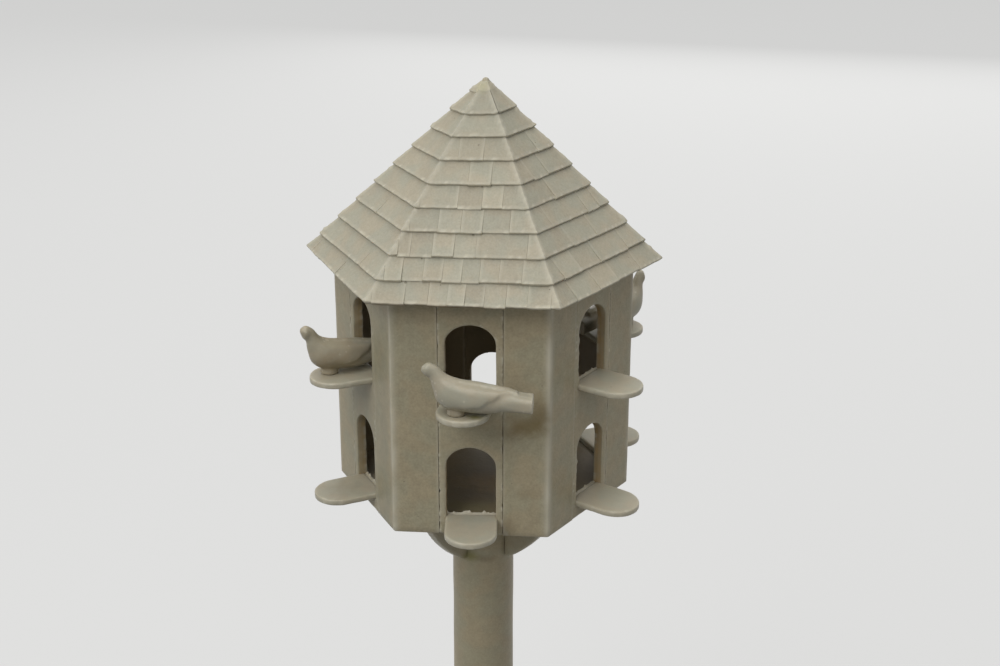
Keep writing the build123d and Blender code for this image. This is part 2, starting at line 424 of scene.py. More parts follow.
# %% Recipe for cast resin
def resin(name, tone=RESIN, grain=0.05, mottle=0.10, rough=0.52, corner_shade_and_dirt=0.6, wear_and_highlight=0.55,
          speckle=0.35, blots=(), pits=(), shingled=False, room=False, flash_and_highlight_tone=PALE_WEAR_FLASH_AND_HIGHLIGHT):
    """A finish of unpainted resin."""
    recipe = CastRecipe(bpy.data.materials.new(name))
    place = recipe.spot()
    noises = Grain(recipe, place, shingled)
    colour = drifting(recipe, place, tone, noises.lightness(recipe, mottle, grain))
    if room:
        colour = around_the_room(recipe, place, colour, noises.mottling)
    colour = wear_and_painted_light(recipe, colour, noises, corner_shade_and_dirt, wear_and_highlight, speckle, flash_and_highlight_tone)
    shader = recipe.add("BsdfPrincipled", {}, {
        "Base Color": with_blots(recipe, place, colour, blots, pits),
        "Roughness": rough + noises.clouds * 0.12 + noises.fine * 0.1,
        "Normal": noises.bumps(recipe, place),
        "IOR": 1.5,
        "Specular IOR Level": 0.4,
        "Subsurface Weight": 0.12,
        "Subsurface Radius": (1.0, 0.8, 0.5),
        "Subsurface Scale": 0.5 * MM,
    })
    recipe.add("OutputMaterial", {}, {"Surface": shader})
    print(f"{name}: {len(recipe.tree.nodes)} nodes")
    return recipe.owner

# %% [markdown]
# Every piece is put in place in the same way. Its mesh is drawn in millimetres, where drawing is
# easiest, often flat or at the front wall. Then it is moved, turned and made into metres in one
# step, gets its finish, and the packed solids it stands for are hidden.

# %% Put a piece in place
made = []


def put_in_place(name, mesh, place, finish, nodes, sharp=40):
    """Makes a piece of a mesh drawn in millimetres, and lets it stand for its solids."""
    mesh.transform(Matrix.Scale(MM, 4) @ place)
    mesh.materials.clear()
    mesh.materials.append(finish)
    mesh.shade_smooth()
    mesh.set_sharp_from_angle(angle=math.radians(sharp))
    piece = bpy.data.objects.new(name, mesh)
    bpy.context.scene.collection.objects.link(piece)
    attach(piece, "root")
    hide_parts(*nodes)
    made.append(piece)
    return piece


def triangles(pieces):
    """How many triangles some pieces have together."""
    return sum(len(polygon.vertices) - 2 for piece in pieces for polygon in piece.data.polygons)


print("pieces made so far:", len(made))

# %% [markdown]
# The roof was cast in one piece, from a pattern laid up in courses of small shingles. Its finish
# has more grain than the others, and streaks that run down each shingle. A brown edge of glue along
# the eaves with the shade under them painted in, a yellowed apex, a greyer top that is painted
# shade, and a few open bubbles are stains and pits at their own places.

# %% Finish of the roof
ROOF_STAINS_AND_SHADE = [
    ((0.1, -0.7, 109.2), (1.1, 1.2, 0.9), YELLOWED, 0.6),
    # painted shade: the upper part of the roof greyed, darker than its light makes it
    ((0.0, -4.0, 105.5), (6.0, 6.0, 5.0), GREYED, 0.16),
    # a brown edge of glue along the eaves at the front, with the shade under the eaves painted in
    ((-2.0, -15.3, 92.16), (14.0, 1.2, 0.33), BROWN, 0.95),
]
ROOF_PITS = [
    ((-5.77, -13.73, 93.9), 0.17), ((-4.47, -12.2, 95.7), 0.11), ((0.12, -10.66, 97.6), 0.16),
    ((0.65, -7.55, 101.3), 0.10), ((2.6, -5.4, 103.8), 0.12), ((-2.56, -13.9, 93.8), 0.09),
    ((7.34, -14.23, 93.75), 0.11), ((7.35, -14.7, 93.2), 0.13),
]
roof_resin = resin(
    "shingle_resin", grain=0.30, mottle=0.18, rough=0.60, corner_shade_and_dirt=0.15, wear_and_highlight=0.0,
    blots=ROOF_STAINS_AND_SHADE, pits=ROOF_PITS, shingled=True, flash_and_highlight_tone=ROOF_FLASH_AND_HIGHLIGHT
)

# %% [markdown]
# Each course sits a little proud of the one above it, and each shingle is a hair higher, lower,
# longer or shorter than its neighbours. A face of the roof could be one bumpy plane, but its
# stepped outline shows against the background. So each course is a strip of its own. Its points are
# worked out on the slope of one face: so far across, so far up the slope and so far proud of it.

# %% Slope of the roof
CORNER_REACH = 17.5
ROOF_RUN = CORNER_REACH * math.cos(HALF_CORNER)
SLOPE = math.hypot(ROOF_RUN, ROOF_HEIGHT)
SLOPE_OUT = ROOF_RUN / SLOPE
SLOPE_UP = ROOF_HEIGHT / SLOPE
APEX_LEAN = 0.35


def up_slope(reach):
    """How far up the slope a corner of the roof is that reaches out so far."""
    return (CORNER_REACH - reach) * math.cos(HALF_CORNER) / SLOPE_OUT


def run_at(up, proud):
    """How far out a place is, up the slope and proud of it."""
    return ROOF_RUN - up * SLOPE_OUT + proud * SLOPE_UP


def mitre(up, proud):
    """Half the width of a roof face there."""
    return run_at(up, proud) * math.tan(HALF_CORNER)


def on_slope(heading, across, up, proud):
    """A point of a roof face in the model, before the roof's own turn."""
    rise = up * SLOPE_UP + proud * SLOPE_OUT
    point = swung(heading) @ Vector((across, -run_at(up, proud), rise))
    return point + Vector((APEX_LEAN * rise / ROOF_HEIGHT, 0, 0))


print(f"slope {SLOPE:.2f} mm long, {math.degrees(math.asin(SLOPE_UP)):.1f} degrees steep")

# %% [markdown]
# Nine courses and a small cap cover each face. They weren't laid quite level: at each hip they lie
# a little too high or too low, and the eaves sag between the hips. Such values are given once for
# each hip, and a place on a face takes its share of the two beside it.

# %% Courses of the roof
CAP = 9
APEX_REACH = 0.35
FIRST_LAP, CAP_FOOT = 16.0, 1.25
COURSE_REACHES = [CORNER_REACH] + [FIRST_LAP - (FIRST_LAP - CAP_FOOT) / 8 * n for n in range(9)]

# at the hip to the right of each wall: how far up the courses were laid too high, how thick the
# lower edge of the cap is, and how far the eaves hang down
HIP_RAISE = dict(zip(WALL_NAMES, (0.18, 0.33, 0.15, -0.05, -0.25, 0.0)))
CAP_BUTT = dict(zip(WALL_NAMES, (0.0, 0.0, 0.05, 0.16, 0.18, 0.03)))
EAVES_HANG = dict(zip(WALL_NAMES, (0.14, 0.0, 0.05, 0.05, 0.06, 0.24)))
EAVES_SAG = 0.06


def at_hips(values, wall, share):
    """A value given at the hips, at a share of the way across the roof face of a wall."""
    left = values[WALL_NAMES[WALL_NAMES.index(wall) - 1]]
    return left + (values[wall] - left) * share


def course_line(wall, course, share):
    """How far up the slope a course starts, at a share of the way across a roof face."""
    if course == 0:
        return 0.0
    if course > CAP:
        return up_slope(APEX_REACH)
    return up_slope(COURSE_REACHES[course]) + at_hips(HIP_RAISE, wall, share)


print("courses start", [round(course_line("front", n, 0.5), 2) for n in range(11)], "mm up")

# %% [markdown]
# The three faces seen most have joints of their own, given as shares of the width of each course.
# The other faces get joints at random, from wide and narrow shingles mixed. A few shingles were
# laid worse than the rest, and stand out.

# %% Joints between the shingles
JOINTS = {
    "front": [
        [0.03, 0.20, 0.32, 0.42, 0.51, 0.61, 0.72, 0.83, 0.95],
        [0.04, 0.14, 0.26, 0.37, 0.48, 0.58, 0.69, 0.82],
        [0.05, 0.13, 0.27, 0.41, 0.55, 0.88],
        [0.05, 0.26, 0.43, 0.59, 0.79],
        [0.04, 0.37, 0.58, 0.76, 0.96],
        [0.43, 0.67], [0.24, 0.58], [], [], [],
    ],
    "right_front": [
        [0.16, 0.37, 0.55, 0.77],
        [0.12, 0.30, 0.50, 0.80],
        [0.35, 0.62],
        [0.22, 0.70, 0.86],
        [0.42], [0.26, 0.52], [0.60], [], [], [],
    ],
    "left_front": [
        [0.10, 0.22, 0.37, 0.52, 0.68, 0.84],
        [0.30, 0.71], [], [0.45], [], [0.62], [], [], [], [],
    ],
}
FIRST_WIDTHS = (0.4, 2.0)
SHINGLE_WIDTHS = (1.3, 2.7)
NARROWEST = 0.6


def random_joints(chance, course):
    """Joints for a course of a face that has no pattern of its own."""
    width = 2 * mitre(up_slope(COURSE_REACHES[course]), 0)
    joints = []
    edge = chance.uniform(*FIRST_WIDTHS)
    while edge < width - NARROWEST:
        joints.append(edge / width)
        edge += chance.uniform(*SHINGLE_WIDTHS)
    return joints


print("joints on the front face:", sum(len(course) for course in JOINTS["front"]))

# %% Shingles that stand out
# wall and course, then for a shingle how much prouder, longer and paler it is than by chance
ODD_SHINGLES = {
    ("front", 5): {0: (0.0, 0.0, -0.03), 1: (0.10, 0.14, 0.06), 2: (-0.02, -0.04, 0.02)},
    ("front", 4): {1: (0.0, 0.0, 0.02), 2: (-0.03, 0.0, -0.04), 3: (0.05, 0.0, 0.04)},
    ("front", 3): {3: (0.05, 0.02, 0.03), 4: (-0.03, 0.0, 0.0)},
    ("front", 1): {
        1: (0.04, 0.0, 0.06), 2: (-0.04, 0.0, -0.05), 4: (0.05, 0.0, 0.05), 8: (0.05, 0.02, 0.05),
    },
    ("front", 0): {4: (0.04, 0.0, 0.0), 5: (-0.04, 0.0, -0.03)},
    ("right_front", 4): {0: (-0.05, -0.03, -0.05), 1: (0.05, 0.08, 0.03)},
    ("right_front", 1): {1: (0.06, 0.06, 0.03)},
}
print("shingles that stand out:", sum(len(course) for course in ODD_SHINGLES.values()))

# %% [markdown]
# A course is first drawn up as a list of shingles, with all that chance decides about them: how
# proud each one is, how long, how pale and how slanted, and how wide and deep the joints are. The
# chance comes from a generator with a fixed seed, so the roof is the same each time.

# %% Shingles of one course
SHINGLE_BUTT = 0.23
PAST_HIP = 0.4


class Course:
    """The shingles of one course of a roof face."""

    def __init__(self, wall, number, joints, boldness, chance):
        self.wall, self.number, self.boldness = wall, number, boldness
        self.half = half = mitre(course_line(wall, number, 0.5), SHINGLE_BUTT)
        inner = [(2 * share - 1) * half for share in joints]
        self.edges = [-half - PAST_HIP] + inner + [half + PAST_HIP]
        self.count = count = len(self.edges) - 1

        def drawn(low, high, times, how_many):
            return [chance.uniform(low, high) * times for _ in range(how_many)]

        self.proud = drawn(-0.06, 0.07, boldness * (number < CAP), count)
        self.longer = drawn(-0.07, 0.09, boldness, count)
        self.tones = drawn(-0.06, 0.06, boldness, count)
        self.slant = drawn(-0.03, 0.03, boldness, count)
        self.gaps = drawn(0.005, 0.025, 1.0, count + 1)
        self.depths = drawn(0.02, 0.07, 1.0, count + 1)
        for place, (prouder, hanging, paler) in ODD_SHINGLES.get((wall, number), {}).items():
            self.proud[place] += prouder
            self.longer[place] += hanging
            self.tones[place] += paler


print("shingles are", SHINGLE_BUTT, "mm thick at the butt")

# %% [markdown]
# Then the course is cut into columns of points. There is a column exactly at each side of a shingle
# and one down in each joint, which a plain grid of points would miss. Where a shingle stands above
# its neighbour, its side has a slight bead, as a cut edge has.

# %% Columns across a course
SIDE_ROUND = 0.06
COLUMN_APART = 0.3
BEAD_REACH = 0.13


def side_bead(course, place, from_left, from_right):
    """How near a point is to a side of a shingle that stands above its neighbour."""
    near, proud = 0.0, course.proud
    if place > 0 and proud[place] > proud[place - 1]:
        near = math.exp(-(from_left / BEAD_REACH) ** 2)
    if place < course.count - 1 and proud[place] > proud[place + 1]:
        near = max(near, math.exp(-(from_right / BEAD_REACH) ** 2))
    return near


def columns_of(course):
    """For each column: how far across, its shingle, its dip into a joint, and its bead."""
    columns = []
    for place in range(course.count):
        left = course.edges[place] + course.gaps[place]
        right = course.edges[place + 1] - course.gaps[place + 1]
        flat = right - left - 2 * SIDE_ROUND
        steps = max(2, math.ceil(flat / COLUMN_APART))
        inner = [left + SIDE_ROUND + flat * step / steps for step in range(steps + 1)]
        for across in [left] + inner + [right]:
            bead = side_bead(course, place, across - left, right - across)
            columns.append((across, place, 0.0, bead))
        if place < course.count - 1:
            columns.append((course.edges[place + 1], place, -course.depths[place], 0.0))
    return columns


print("columns are", COLUMN_APART, "mm apart at most")

# %% [markdown]
# Real castings are rough in some places and clean in between. Plain noise is rough everywhere, so
# crumbs, beads and flecks use a noise that has been lowered until more than half of it is zero.

# %% Ragged noise
def ragged(place, size, seed):
    """Noise from 0 to about 1 that is zero more than half the time."""
    shift = Vector((seed, seed * 3.1, seed * 7.7))
    return max(0.0, 2.4 * noise.noise(Vector(place) / size + shift) - 0.2)


samples = [ragged((step * 0.1, 0, 0), 0.5, 1.0) for step in range(200)]
print("zero at", samples.count(0), "of 200 places, and at most", round(max(samples), 2))

# %% [markdown]
# Up a column, the points run round the lower edge of the shingle, called its butt, and then up its
# face until they lie under the next course. The face sinks on the way up, so the next course has
# room. The lowest course starts with a row under the eaves.

# %% Rows up a column
OVERLAP = 0.12
EDGE_ROUND = 0.14
# how far up each row of the butt is, and its height as a share of the butt's
BUTT_ROWS = [(0.02, -0.10), (0.0, 0.25), (0.02, 0.66), (0.07, 0.92), (EDGE_ROUND, 1.0)]
UNDER_EAVES = (0.52, -0.35)
ROWS_UP = 8
BUTT_WAVER = 0.035


class Column:
    """One column of points up a course, and what stays the same all the way up it."""

    def __init__(self, course, across, place, dip, bead):
        self.course, self.across, self.place = course, across, place
        self.dip, self.bead = dip, bead
        wall, number = course.wall, course.number
        share = max(0.0, min(1.0, (across / course.half + 1) / 2))
        self.start = course_line(wall, number, share)
        lap = OVERLAP if number < CAP else 0.0
        self.length = course_line(wall, number + 1, share) - self.start + lap
        self.butt = SHINGLE_BUTT if number < CAP else at_hips(CAP_BUTT, wall, share)
        sag = EAVES_SAG * 4 * share * (1 - share)
        self.hang = (at_hips(EAVES_HANG, wall, share) + sag) * (number == 0)
        heading = HEADINGS[wall]
        wander = Vector((across / 0.55, heading + number * 7.7, 0.5))
        self.longer = course.longer[place] + BUTT_WAVER * noise.noise(wander)
        self.hip = heading if across > 0 else (heading - 60) % 360

    def rows(self):
        """How far up each point is, and its height as a share of the butt's."""
        face = self.length - EDGE_ROUND
        climb = [(EDGE_ROUND + face * step / ROWS_UP, 1.0) for step in range(1, ROWS_UP + 1)]
        under = [UNDER_EAVES] if self.course.number == 0 else []
        return under + BUTT_ROWS + climb


print("points up a column:", len(BUTT_ROWS) + ROWS_UP)

# %% [markdown]
# Two things shape a point's height. In the middle of a face it is the shingle's own: proud or
# sunken, slanted, a little lumpy, and dipped where it lies in a joint. Near a hip all that fades,
# and a raised bead of resin takes over. There the points are also pulled back to the mitre line,
# where two faces meet.

# %% One point of a shingle
HIP_REACH = 0.22
HIP_BEAD = 0.07


def relief(column, along, fade):
    """How much a shingle stands up or sinks here, apart from its butt."""
    course, heading = column.course, HEADINGS[column.course.wall]
    tilt = course.slant[column.place] * column.across / max(course.half, 1)
    lump = Vector((column.across / 0.8, along / 0.8, heading * 1.3 + course.number))
    own = (course.proud[column.place] + tilt) * fade + 0.03 * column.bead * fade
    return own + (0.02 * noise.noise(lump) + column.dip * (0.35 + 0.65 * fade))


class ShinglePoint:
    """A point so far up a column. Its height is at first a share of the butt's height."""

    def __init__(self, column, up, share):
        self.column, self.up, self.share = column, up, share
        fade = 1 - up / column.length
        plain = column.butt * fade * share
        place_up = column.start + up
        self.from_hip = max(0.0, mitre(place_up, plain) - abs(column.across))
        self.own = own = 1 - math.exp(-(self.from_hip / HIP_REACH) ** 2)
        self.along = place_up - (column.longer * own + column.hang) * max(0.0, fade)
        self.beading = ragged((0, place_up, column.course.number), 0.45, column.hip)
        bead = (HIP_BEAD + HIP_BEAD * self.beading) * (1 - own)
        raised = relief(column, self.along, fade) * own + bead
        self.height = plain + raised * max(0.0, share)
        if share < 0:
            self.height = share * min(1.0, column.butt / 0.1)

    def in_model(self, crack):
        """The point itself, pulled back to the mitre line, or short of it where a hip cracked."""
        column, limit = self.column, mitre(self.along, self.height)
        short = crack if column.across > 0 else 0.0
        across = max(-limit, min(limit - short, column.across))
        return on_slope(HEADINGS[column.course.wall], across, self.along, self.height)


print("the bead at a hip is", HIP_BEAD, "mm high where it is smooth, and more in places")

# %% [markdown]
# The finish needs to know three things that it can't see in the shape: where a point lies on its
# shingle, how light that shingle is, with a painted shadow just below the butt of the next course,
# and how much flash and painted highlight there is. Each is stored for every point. Flash lies
# along the hips; on the butts it comes with painted light on their shaded faces, and a painted
# highlight lies on the raised sides of shingles.

# %% Marks on a shingle
NEXT_COURSE_SHADOW = (0.24, 0.42)
HIP_FLASH_REACH = 0.28
SIDE_HIGHLIGHT = 0.40


def shingle_tone_and_shadow(point):
    """How light the shingle is here, with a painted shadow under the next course."""
    column = point.column
    tone = column.course.tones[column.place] * point.own
    if column.course.number == CAP:
        return tone
    darker, reach = NEXT_COURSE_SHADOW
    from_next = max(0.0, column.length - OVERLAP - point.up)
    return tone - darker * math.exp(-from_next / reach)


def shingle_flash_and_highlight(point):
    """Flash along a hip, flash and painted light on the butt, and a painted highlight on a raised
    side.
    """
    column = point.column
    course = column.course
    at_hip = (0.60 + 0.5 * point.beading) * math.exp(-(point.from_hip / HIP_FLASH_REACH) ** 2)
    # painted highlight: the lit side of a shingle that stands above its neighbour
    at_side = SIDE_HIGHLIGHT * column.bead * course.boldness ** 2
    at_butt = 0.0
    # on the butt: flash, thinner at its upper edge, and painted light that makes its shaded face
    # paler
    if point.share > 0 and point.up <= EDGE_ROUND:
        crumbs = ragged((column.across, HEADINGS[course.wall], course.number), 0.35, 5.0)
        at_butt = (0.95 if point.share < 0.9 else 0.40) + 0.75 * crumbs
        at_butt *= column.butt / SHINGLE_BUTT
    return max(min(0.8, max(at_hip, at_side)), min(1.1, at_butt))


# the darkening under the next course is a painted shadow
print("dirt reaches about", NEXT_COURSE_SHADOW[1], "mm down from the next course")

# %% [markdown]
# All the courses of a face go into one strip: an open skin, with a four-sided face between each two
# columns and rows. It needs no thickness, since the core closes it from behind. Points that were
# pulled back to the mitre line often fall on the same spot. They are merged at the end, so that no
# face is without area.

# %% Strip of shingles
class Strip:
    """Points, faces and marks of the shingles of one roof face."""

    def __init__(self):
        self.points, self.faces = [], []
        self.places, self.tones, self.flash_and_highlight = [], [], []

    def add(self, point, crack):
        """One point with its marks."""
        course = point.column.course
        self.points.append(point.in_model(crack))
        across = point.column.across + HEADINGS[course.wall]
        self.places.append((across, point.along, course.number * 3.1))
        self.tones.append(shingle_tone_and_shadow(point))
        self.flash_and_highlight.append(shingle_flash_and_highlight(point))


def lay_course(strip, course, crack=0.0):
    """Points and faces of one course: columns across it, rows up the slope."""
    base = len(strip.points)
    columns = [Column(course, *values) for values in columns_of(course)]
    for column in columns:
        rows = column.rows()
        for up, share in rows:
            strip.add(ShinglePoint(column, up, share), crack)
    high = len(rows)
    for number in range(len(columns) - 1):
        for row in range(high - 1):
            corner = base + number * high + row
            after = corner + high
            strip.faces.append((corner, after, after + 1, corner + 1))


print("a strip keeps:", ", ".join(vars(Strip())))

# %% Mesh of a strip
MERGE = 0.004
SLIVER = 0.002


def stored(mesh, name, values, kind="FLOAT", field="value"):
    """Stores a mark for every point of a mesh, for the finish to read."""
    mesh.attributes.new(name, kind, "POINT").data.foreach_set(field, values)


def strip_mesh(strip):
    """The mesh of a strip, with its doubled points at the hips merged and its marks stored."""
    mesh = bpy.data.meshes.new("shingles")
    mesh.from_pydata([tuple(point) for point in strip.points], [], strip.faces)
    places = [number for place in strip.places for number in place]
    stored(mesh, "shingle_place", places, "FLOAT_VECTOR", "vector")
    stored(mesh, "shingle_tone_and_shadow", strip.tones)
    stored(mesh, "flash_and_highlight", strip.flash_and_highlight)
    cleaned = bmesh.new()
    cleaned.from_mesh(mesh)
    bmesh.ops.remove_doubles(cleaned, verts=cleaned.verts, dist=MERGE)
    bmesh.ops.dissolve_degenerate(cleaned, edges=cleaned.edges, dist=SLIVER)
    cleaned.to_mesh(mesh)
    cleaned.free()
    return mesh


print("points closer than", MERGE, "mm are merged")

# %% Six faces of shingles
ROOF_TURN = -1.7
BOLDNESS = {"front": 1.0, "right_front": 0.85, "left_front": 0.3}
HIP_CRACKS = {("front", 8): 0.05}
roof_turned = Matrix.Translation((0, 0, EAVES)) @ swung(ROOF_TURN)
shingle_faces = []
for wall, heading in HEADINGS.items():
    chance = random.Random(40 + heading)
    strip = Strip()
    for number in range(CAP + 1):
        joints = JOINTS[wall][number] if wall in JOINTS else random_joints(chance, number)
        course = Course(wall, number, joints, BOLDNESS.get(wall, 0.5), chance)
        lay_course(strip, course, HIP_CRACKS.get((wall, number), 0.0))
    name, mesh = f"{wall}_shingles", strip_mesh(strip)
    shingle_faces.append(
        put_in_place(name, mesh, roof_turned, roof_resin, ["roof"], sharp=28)
    )
print("shingles:", triangles(shingle_faces), "triangles")

# %% [markdown]
# Under the shingles the casting is solid. Its core closes the joints from behind and gives the roof
# its flat underside, which shows from below between the eaves and the walls. Long plain shapes such
# as this are built of rings of points: here six-sided ones, across the underside, round the eaves
# and up to the blunt apex. A soft waver in the skin stops them from looking machined.

# %% Shapes built of rings
def stacked(rings):
    """A closed mesh over rings of points, each ring with as many points as the others."""
    count = len(rings[0])
    faces = []
    for lower in range(len(rings) - 1):
        for place in range(count):
            after = (place + 1) % count
            base, top = lower * count, (lower + 1) * count
            faces.append((base + place, base + after, top + after, top + place))
    faces.append(tuple(reversed(range(count))))
    faces.append(tuple(range((len(rings) - 1) * count, len(rings) * count)))
    mesh = bpy.data.meshes.new("rings")
    mesh.from_pydata([tuple(point) for ring in rings for point in ring], [], faces)
    return mesh


def uneven(mesh, size, depth, seed):
    """Pushes every point along its normal, in soft waves of a given size."""
    shift = Vector((seed * 17.3, seed * 5.9, seed * 11.7))
    normals = [normal.vector.copy() for normal in mesh.vertex_normals]
    for vertex, normal in zip(mesh.vertices, normals):
        vertex.co += normal * depth * noise.noise(vertex.co / size + shift)
    mesh.update()
    return mesh


def six_sided(reach, height, points_a_side=24):
    """A ring round a hexagon with corners halfway between the walls."""
    lean = Vector((APEX_LEAN * max(0.0, height) / ROOF_HEIGHT, 0, height))
    corners = [swung(60 * side - 30) @ Vector((0, -reach, 0)) for side in range(7)]
    ring = []
    for side in range(6):
        for step in range(points_a_side):
            ring.append(corners[side].lerp(corners[side + 1], step / points_a_side) + lean)
    return ring


print("points round the roof:", len(six_sided(CORNER_REACH, 0.0)))

# %% Core of the roof
CORE_REACH = 17.22
CORE_INSET = 0.144
CORE_STEPS = 24
TOP_REACH = 0.2
UNDERSIDE = (1.0, 4.0, 8.0, 12.0, 15.0, 16.6, 17.12, CORE_REACH)
core_rings = [six_sided(reach, 0.0) for reach in UNDERSIDE]
for step in range(CORE_STEPS):
    reach = CORE_REACH * (1 - step / CORE_STEPS) + TOP_REACH
    rise = ROOF_HEIGHT * (1 - (reach + CORE_INSET) / CORNER_REACH)
    core_rings.append(six_sided(reach, max(rise, 0.05)))
for reach, below_top in ((0.42, 0.42), (0.30, 0.12), (0.12, 0.0)):
    core_rings.append(six_sided(reach, ROOF_HEIGHT - below_top))
core_mesh = uneven(stacked(core_rings), 1.6, 0.03, 3)
for vertex in core_mesh.vertices:
    vertex.co.z = max(vertex.co.z, 0.0)
roof_core = put_in_place("roof_core", core_mesh, roof_turned, roof_resin, ["roof"])
print("roof core:", triangles([roof_core]), "triangles")

# %% [markdown]
# The walls are the same resin, painted a little darker and browner as the shade under the roof.
# Their stains sit where the real ones do: dirt and old glue beside the tail of the front pigeon and
# beside the landing boards, with the shadows of the tail and the boards painted in with them, a
# greyer wall to the left, and amber and olive on the floor of the room.

# %% Finish of the walls
FRONT_FACE = -12.94
WALL_STAINS_AND_SHADOWS = [
    # beside and below the tail of the front pigeon, and beside the lower landing board: dirt and
    # glue with the painted shadows of the tail and the board
    ((6.7, FRONT_FACE, 81.2), (1.4, 1.2, 2.3), DEEP_OCHRE, 0.55),
    ((5.2, FRONT_FACE, 79.6), (2.9, 1.2, 1.5), DEEP_OCHRE, 0.72),
    ((3.6, FRONT_FACE, 78.7), (2.2, 1.2, 1.3), BROWN, 0.35),
    ((3.4, FRONT_FACE, 69.0), (1.5, 1.0, 1.8), BROWN, 0.40),
    ((-3.6, FRONT_FACE, 67.4), (2.0, 1.0, 1.0), BROWN, 0.20),
    ((5.6, FRONT_FACE, 72.6), (1.4, 1.0, 0.9), BROWN, 0.22),
    # the wall to the left is greyer than the others, most of all beside the front corner
    ((-11.2, -6.5, 76.0), (9.0, 8.0, 26.0), GREYED, 0.38),
    ((-8.5, -11.2, 76.0), (2.2, 2.0, 26.0), GREYED, 0.30),
    # the floor of the room is amber further back and olive near the front
    ((1.5, -4.0, FLOOR_TOP), (5.0, 3.0, 1.0), AMBER, 0.55),
    ((-1.0, -9.5, FLOOR_TOP), (5.0, 2.0, 1.0), OLIVE, 0.35),
]
wall_resin = resin("board_resin", SHADED_WALL_TONE, grain=0.42, mottle=0.32, blots=WALL_STAINS_AND_SHADOWS, room=True)

# %% [markdown]
# Each wall has a hole board in its middle. A board with arched holes could be cut from a block, but
# a flat filled curve takes holes for free: the first outline is its edge, and the others are cut
# out of it. The plate is then recast with the voxel remesher, which gives it an even skin of small
# cells and rounds every edge by about one cell, as resin does in a rubber mould.

# %% Plates from outlines
def settled(data, *modifiers):
    """The mesh that is left when a curve or mesh has been through some modifiers."""
    holder = bpy.data.objects.new("holder", data)
    bpy.context.scene.collection.objects.link(holder)
    for kind, settings in modifiers:
        modifier = holder.modifiers.new(kind, kind)
        for name, value in settings.items():
            setattr(modifier, name, value)
    bpy.context.view_layer.update()
    graph = bpy.context.evaluated_depsgraph_get()
    mesh = bpy.data.meshes.new_from_object(holder.evaluated_get(graph))
    bpy.data.objects.remove(holder)
    return mesh


def plate(outlines, thickness):
    """A flat plate lying on its middle plane: the first outline is its edge, the rest are holes."""
    curve = bpy.data.curves.new("outline", "CURVE")
    curve.dimensions = "2D"
    curve.fill_mode = "BOTH"
    curve.extrude = thickness / 2
    for outline in outlines:
        spline = curve.splines.new("POLY")
        spline.points.add(len(outline) - 1)
        spline.points.foreach_set("co", [n for x, y in outline for n in (x, y, 0.0, 1.0)])
        spline.use_cyclic_u = True
    return settled(curve)


def recast(mesh, cell, softening):
    """The same shape with an even skin of small cells and softened edges."""
    remesh = ("REMESH", {"mode": "VOXEL", "voxel_size": cell})
    return settled(mesh, remesh, ("SMOOTH", {"factor": 0.5, "iterations": softening}))


trial_plate = plate([[(0, 0), (1, 0), (1, 1), (0, 1)]], 0.3)
print("faces of a square plate:", len(trial_plate.polygons))
bpy.data.meshes.remove(trial_plate)

# %% [markdown]
# The long edges of the board are nibbled a little, which turns the straight joints beside it into
# the thin broken cracks of hand-fitted parts. Crumbs of flash stand into the nest holes from the
# side. Both are rows of points that wander off a straight line by noise.

# %% Outline of a hole board
HOLE_HALF = 2.4
HOLE_HEIGHT = 7.3
ARCH_RISE = 2.0


def springs(sill):
    """Height at which the arch of a nest hole starts."""
    return sill + HOLE_HEIGHT - ARCH_RISE


def nibbled(start, end, depth, seed):
    """A straight edge as a row of points that wander a little to its right-hand side."""
    a, b = Vector(start), Vector(end)
    side = Vector((b.y - a.y, a.x - b.x)).normalized()
    steps = max(1, round((b - a).length / 0.35))
    points = []
    for step in range(steps):
        point = a.lerp(b, step / steps)
        points.append(tuple(point - side * depth * ragged(point.to_3d(), 0.45, seed)))
    return points


def nest_hole(sill, crumbs, seed):
    """Outline of a nest hole: flat bottom under the landing board, straight sides, flattened arch.
    Crumbs of flash stand into it from its left-hand side."""
    bottom, spring = sill - LANDING_THICKNESS - GLUE_GAP, springs(sill)
    turns = [math.pi * step / 24 for step in range(25)]
    arch = [(HOLE_HALF * math.cos(t), spring + ARCH_RISE * math.sin(t)) for t in turns]
    left_side = nibbled((-HOLE_HALF, spring), (-HOLE_HALF, bottom), crumbs, seed + sill)
    return [(-HOLE_HALF, bottom), (HOLE_HALF, bottom)] + arch[:-1] + left_side


print("points round a nest hole:", len(nest_hole(SILLS["lower"], 0.0, 0.0)))

# %% [markdown]
# Flash is thin resin that crept into the seams of the mould. It is paler than the rest, so every
# point stores how much of it lies there, in a mark that on the roof, the corners, the pigeons and
# the brackets also carries painted highlights. On a hole board it sits in flecks beside the joints,
# in a narrow pale band round each hole, and in crumbs along the inner edge of a hole.

# %% Flash on a hole board
JOINT_REACH = 0.17
FLECK_SIZE = 0.40
FLECK_GROUPS = 2.6
SIDE_BAND = 0.26
ARCH_BAND = 0.34
ARCH_BAND_REACH = 0.10
INNER_REACH = (0.2, 0.32)


def with_flash_and_highlight(mesh, amount_at):
    """Stores for every point how much flash and painted highlight lies there."""
    stored(mesh, "flash_and_highlight", [amount_at(vertex.co) for vertex in mesh.vertices])
    return mesh


def joint_flash(along, across, crumbs, seed):
    """Flash beside an upright joint: flecks in loose groups, close to the edge of the board."""
    near = math.exp(-((HOLE_BOARD_HALF - abs(across)) / JOINT_REACH) ** 2)
    beside = (across * 0.2, along, 0)
    group = 0.35 + 1.2 * ragged(beside, FLECK_GROUPS, seed + 9)
    return near * min(1.2, 0.12 + 2.6 * crumbs * group * ragged(beside, FLECK_SIZE, seed))


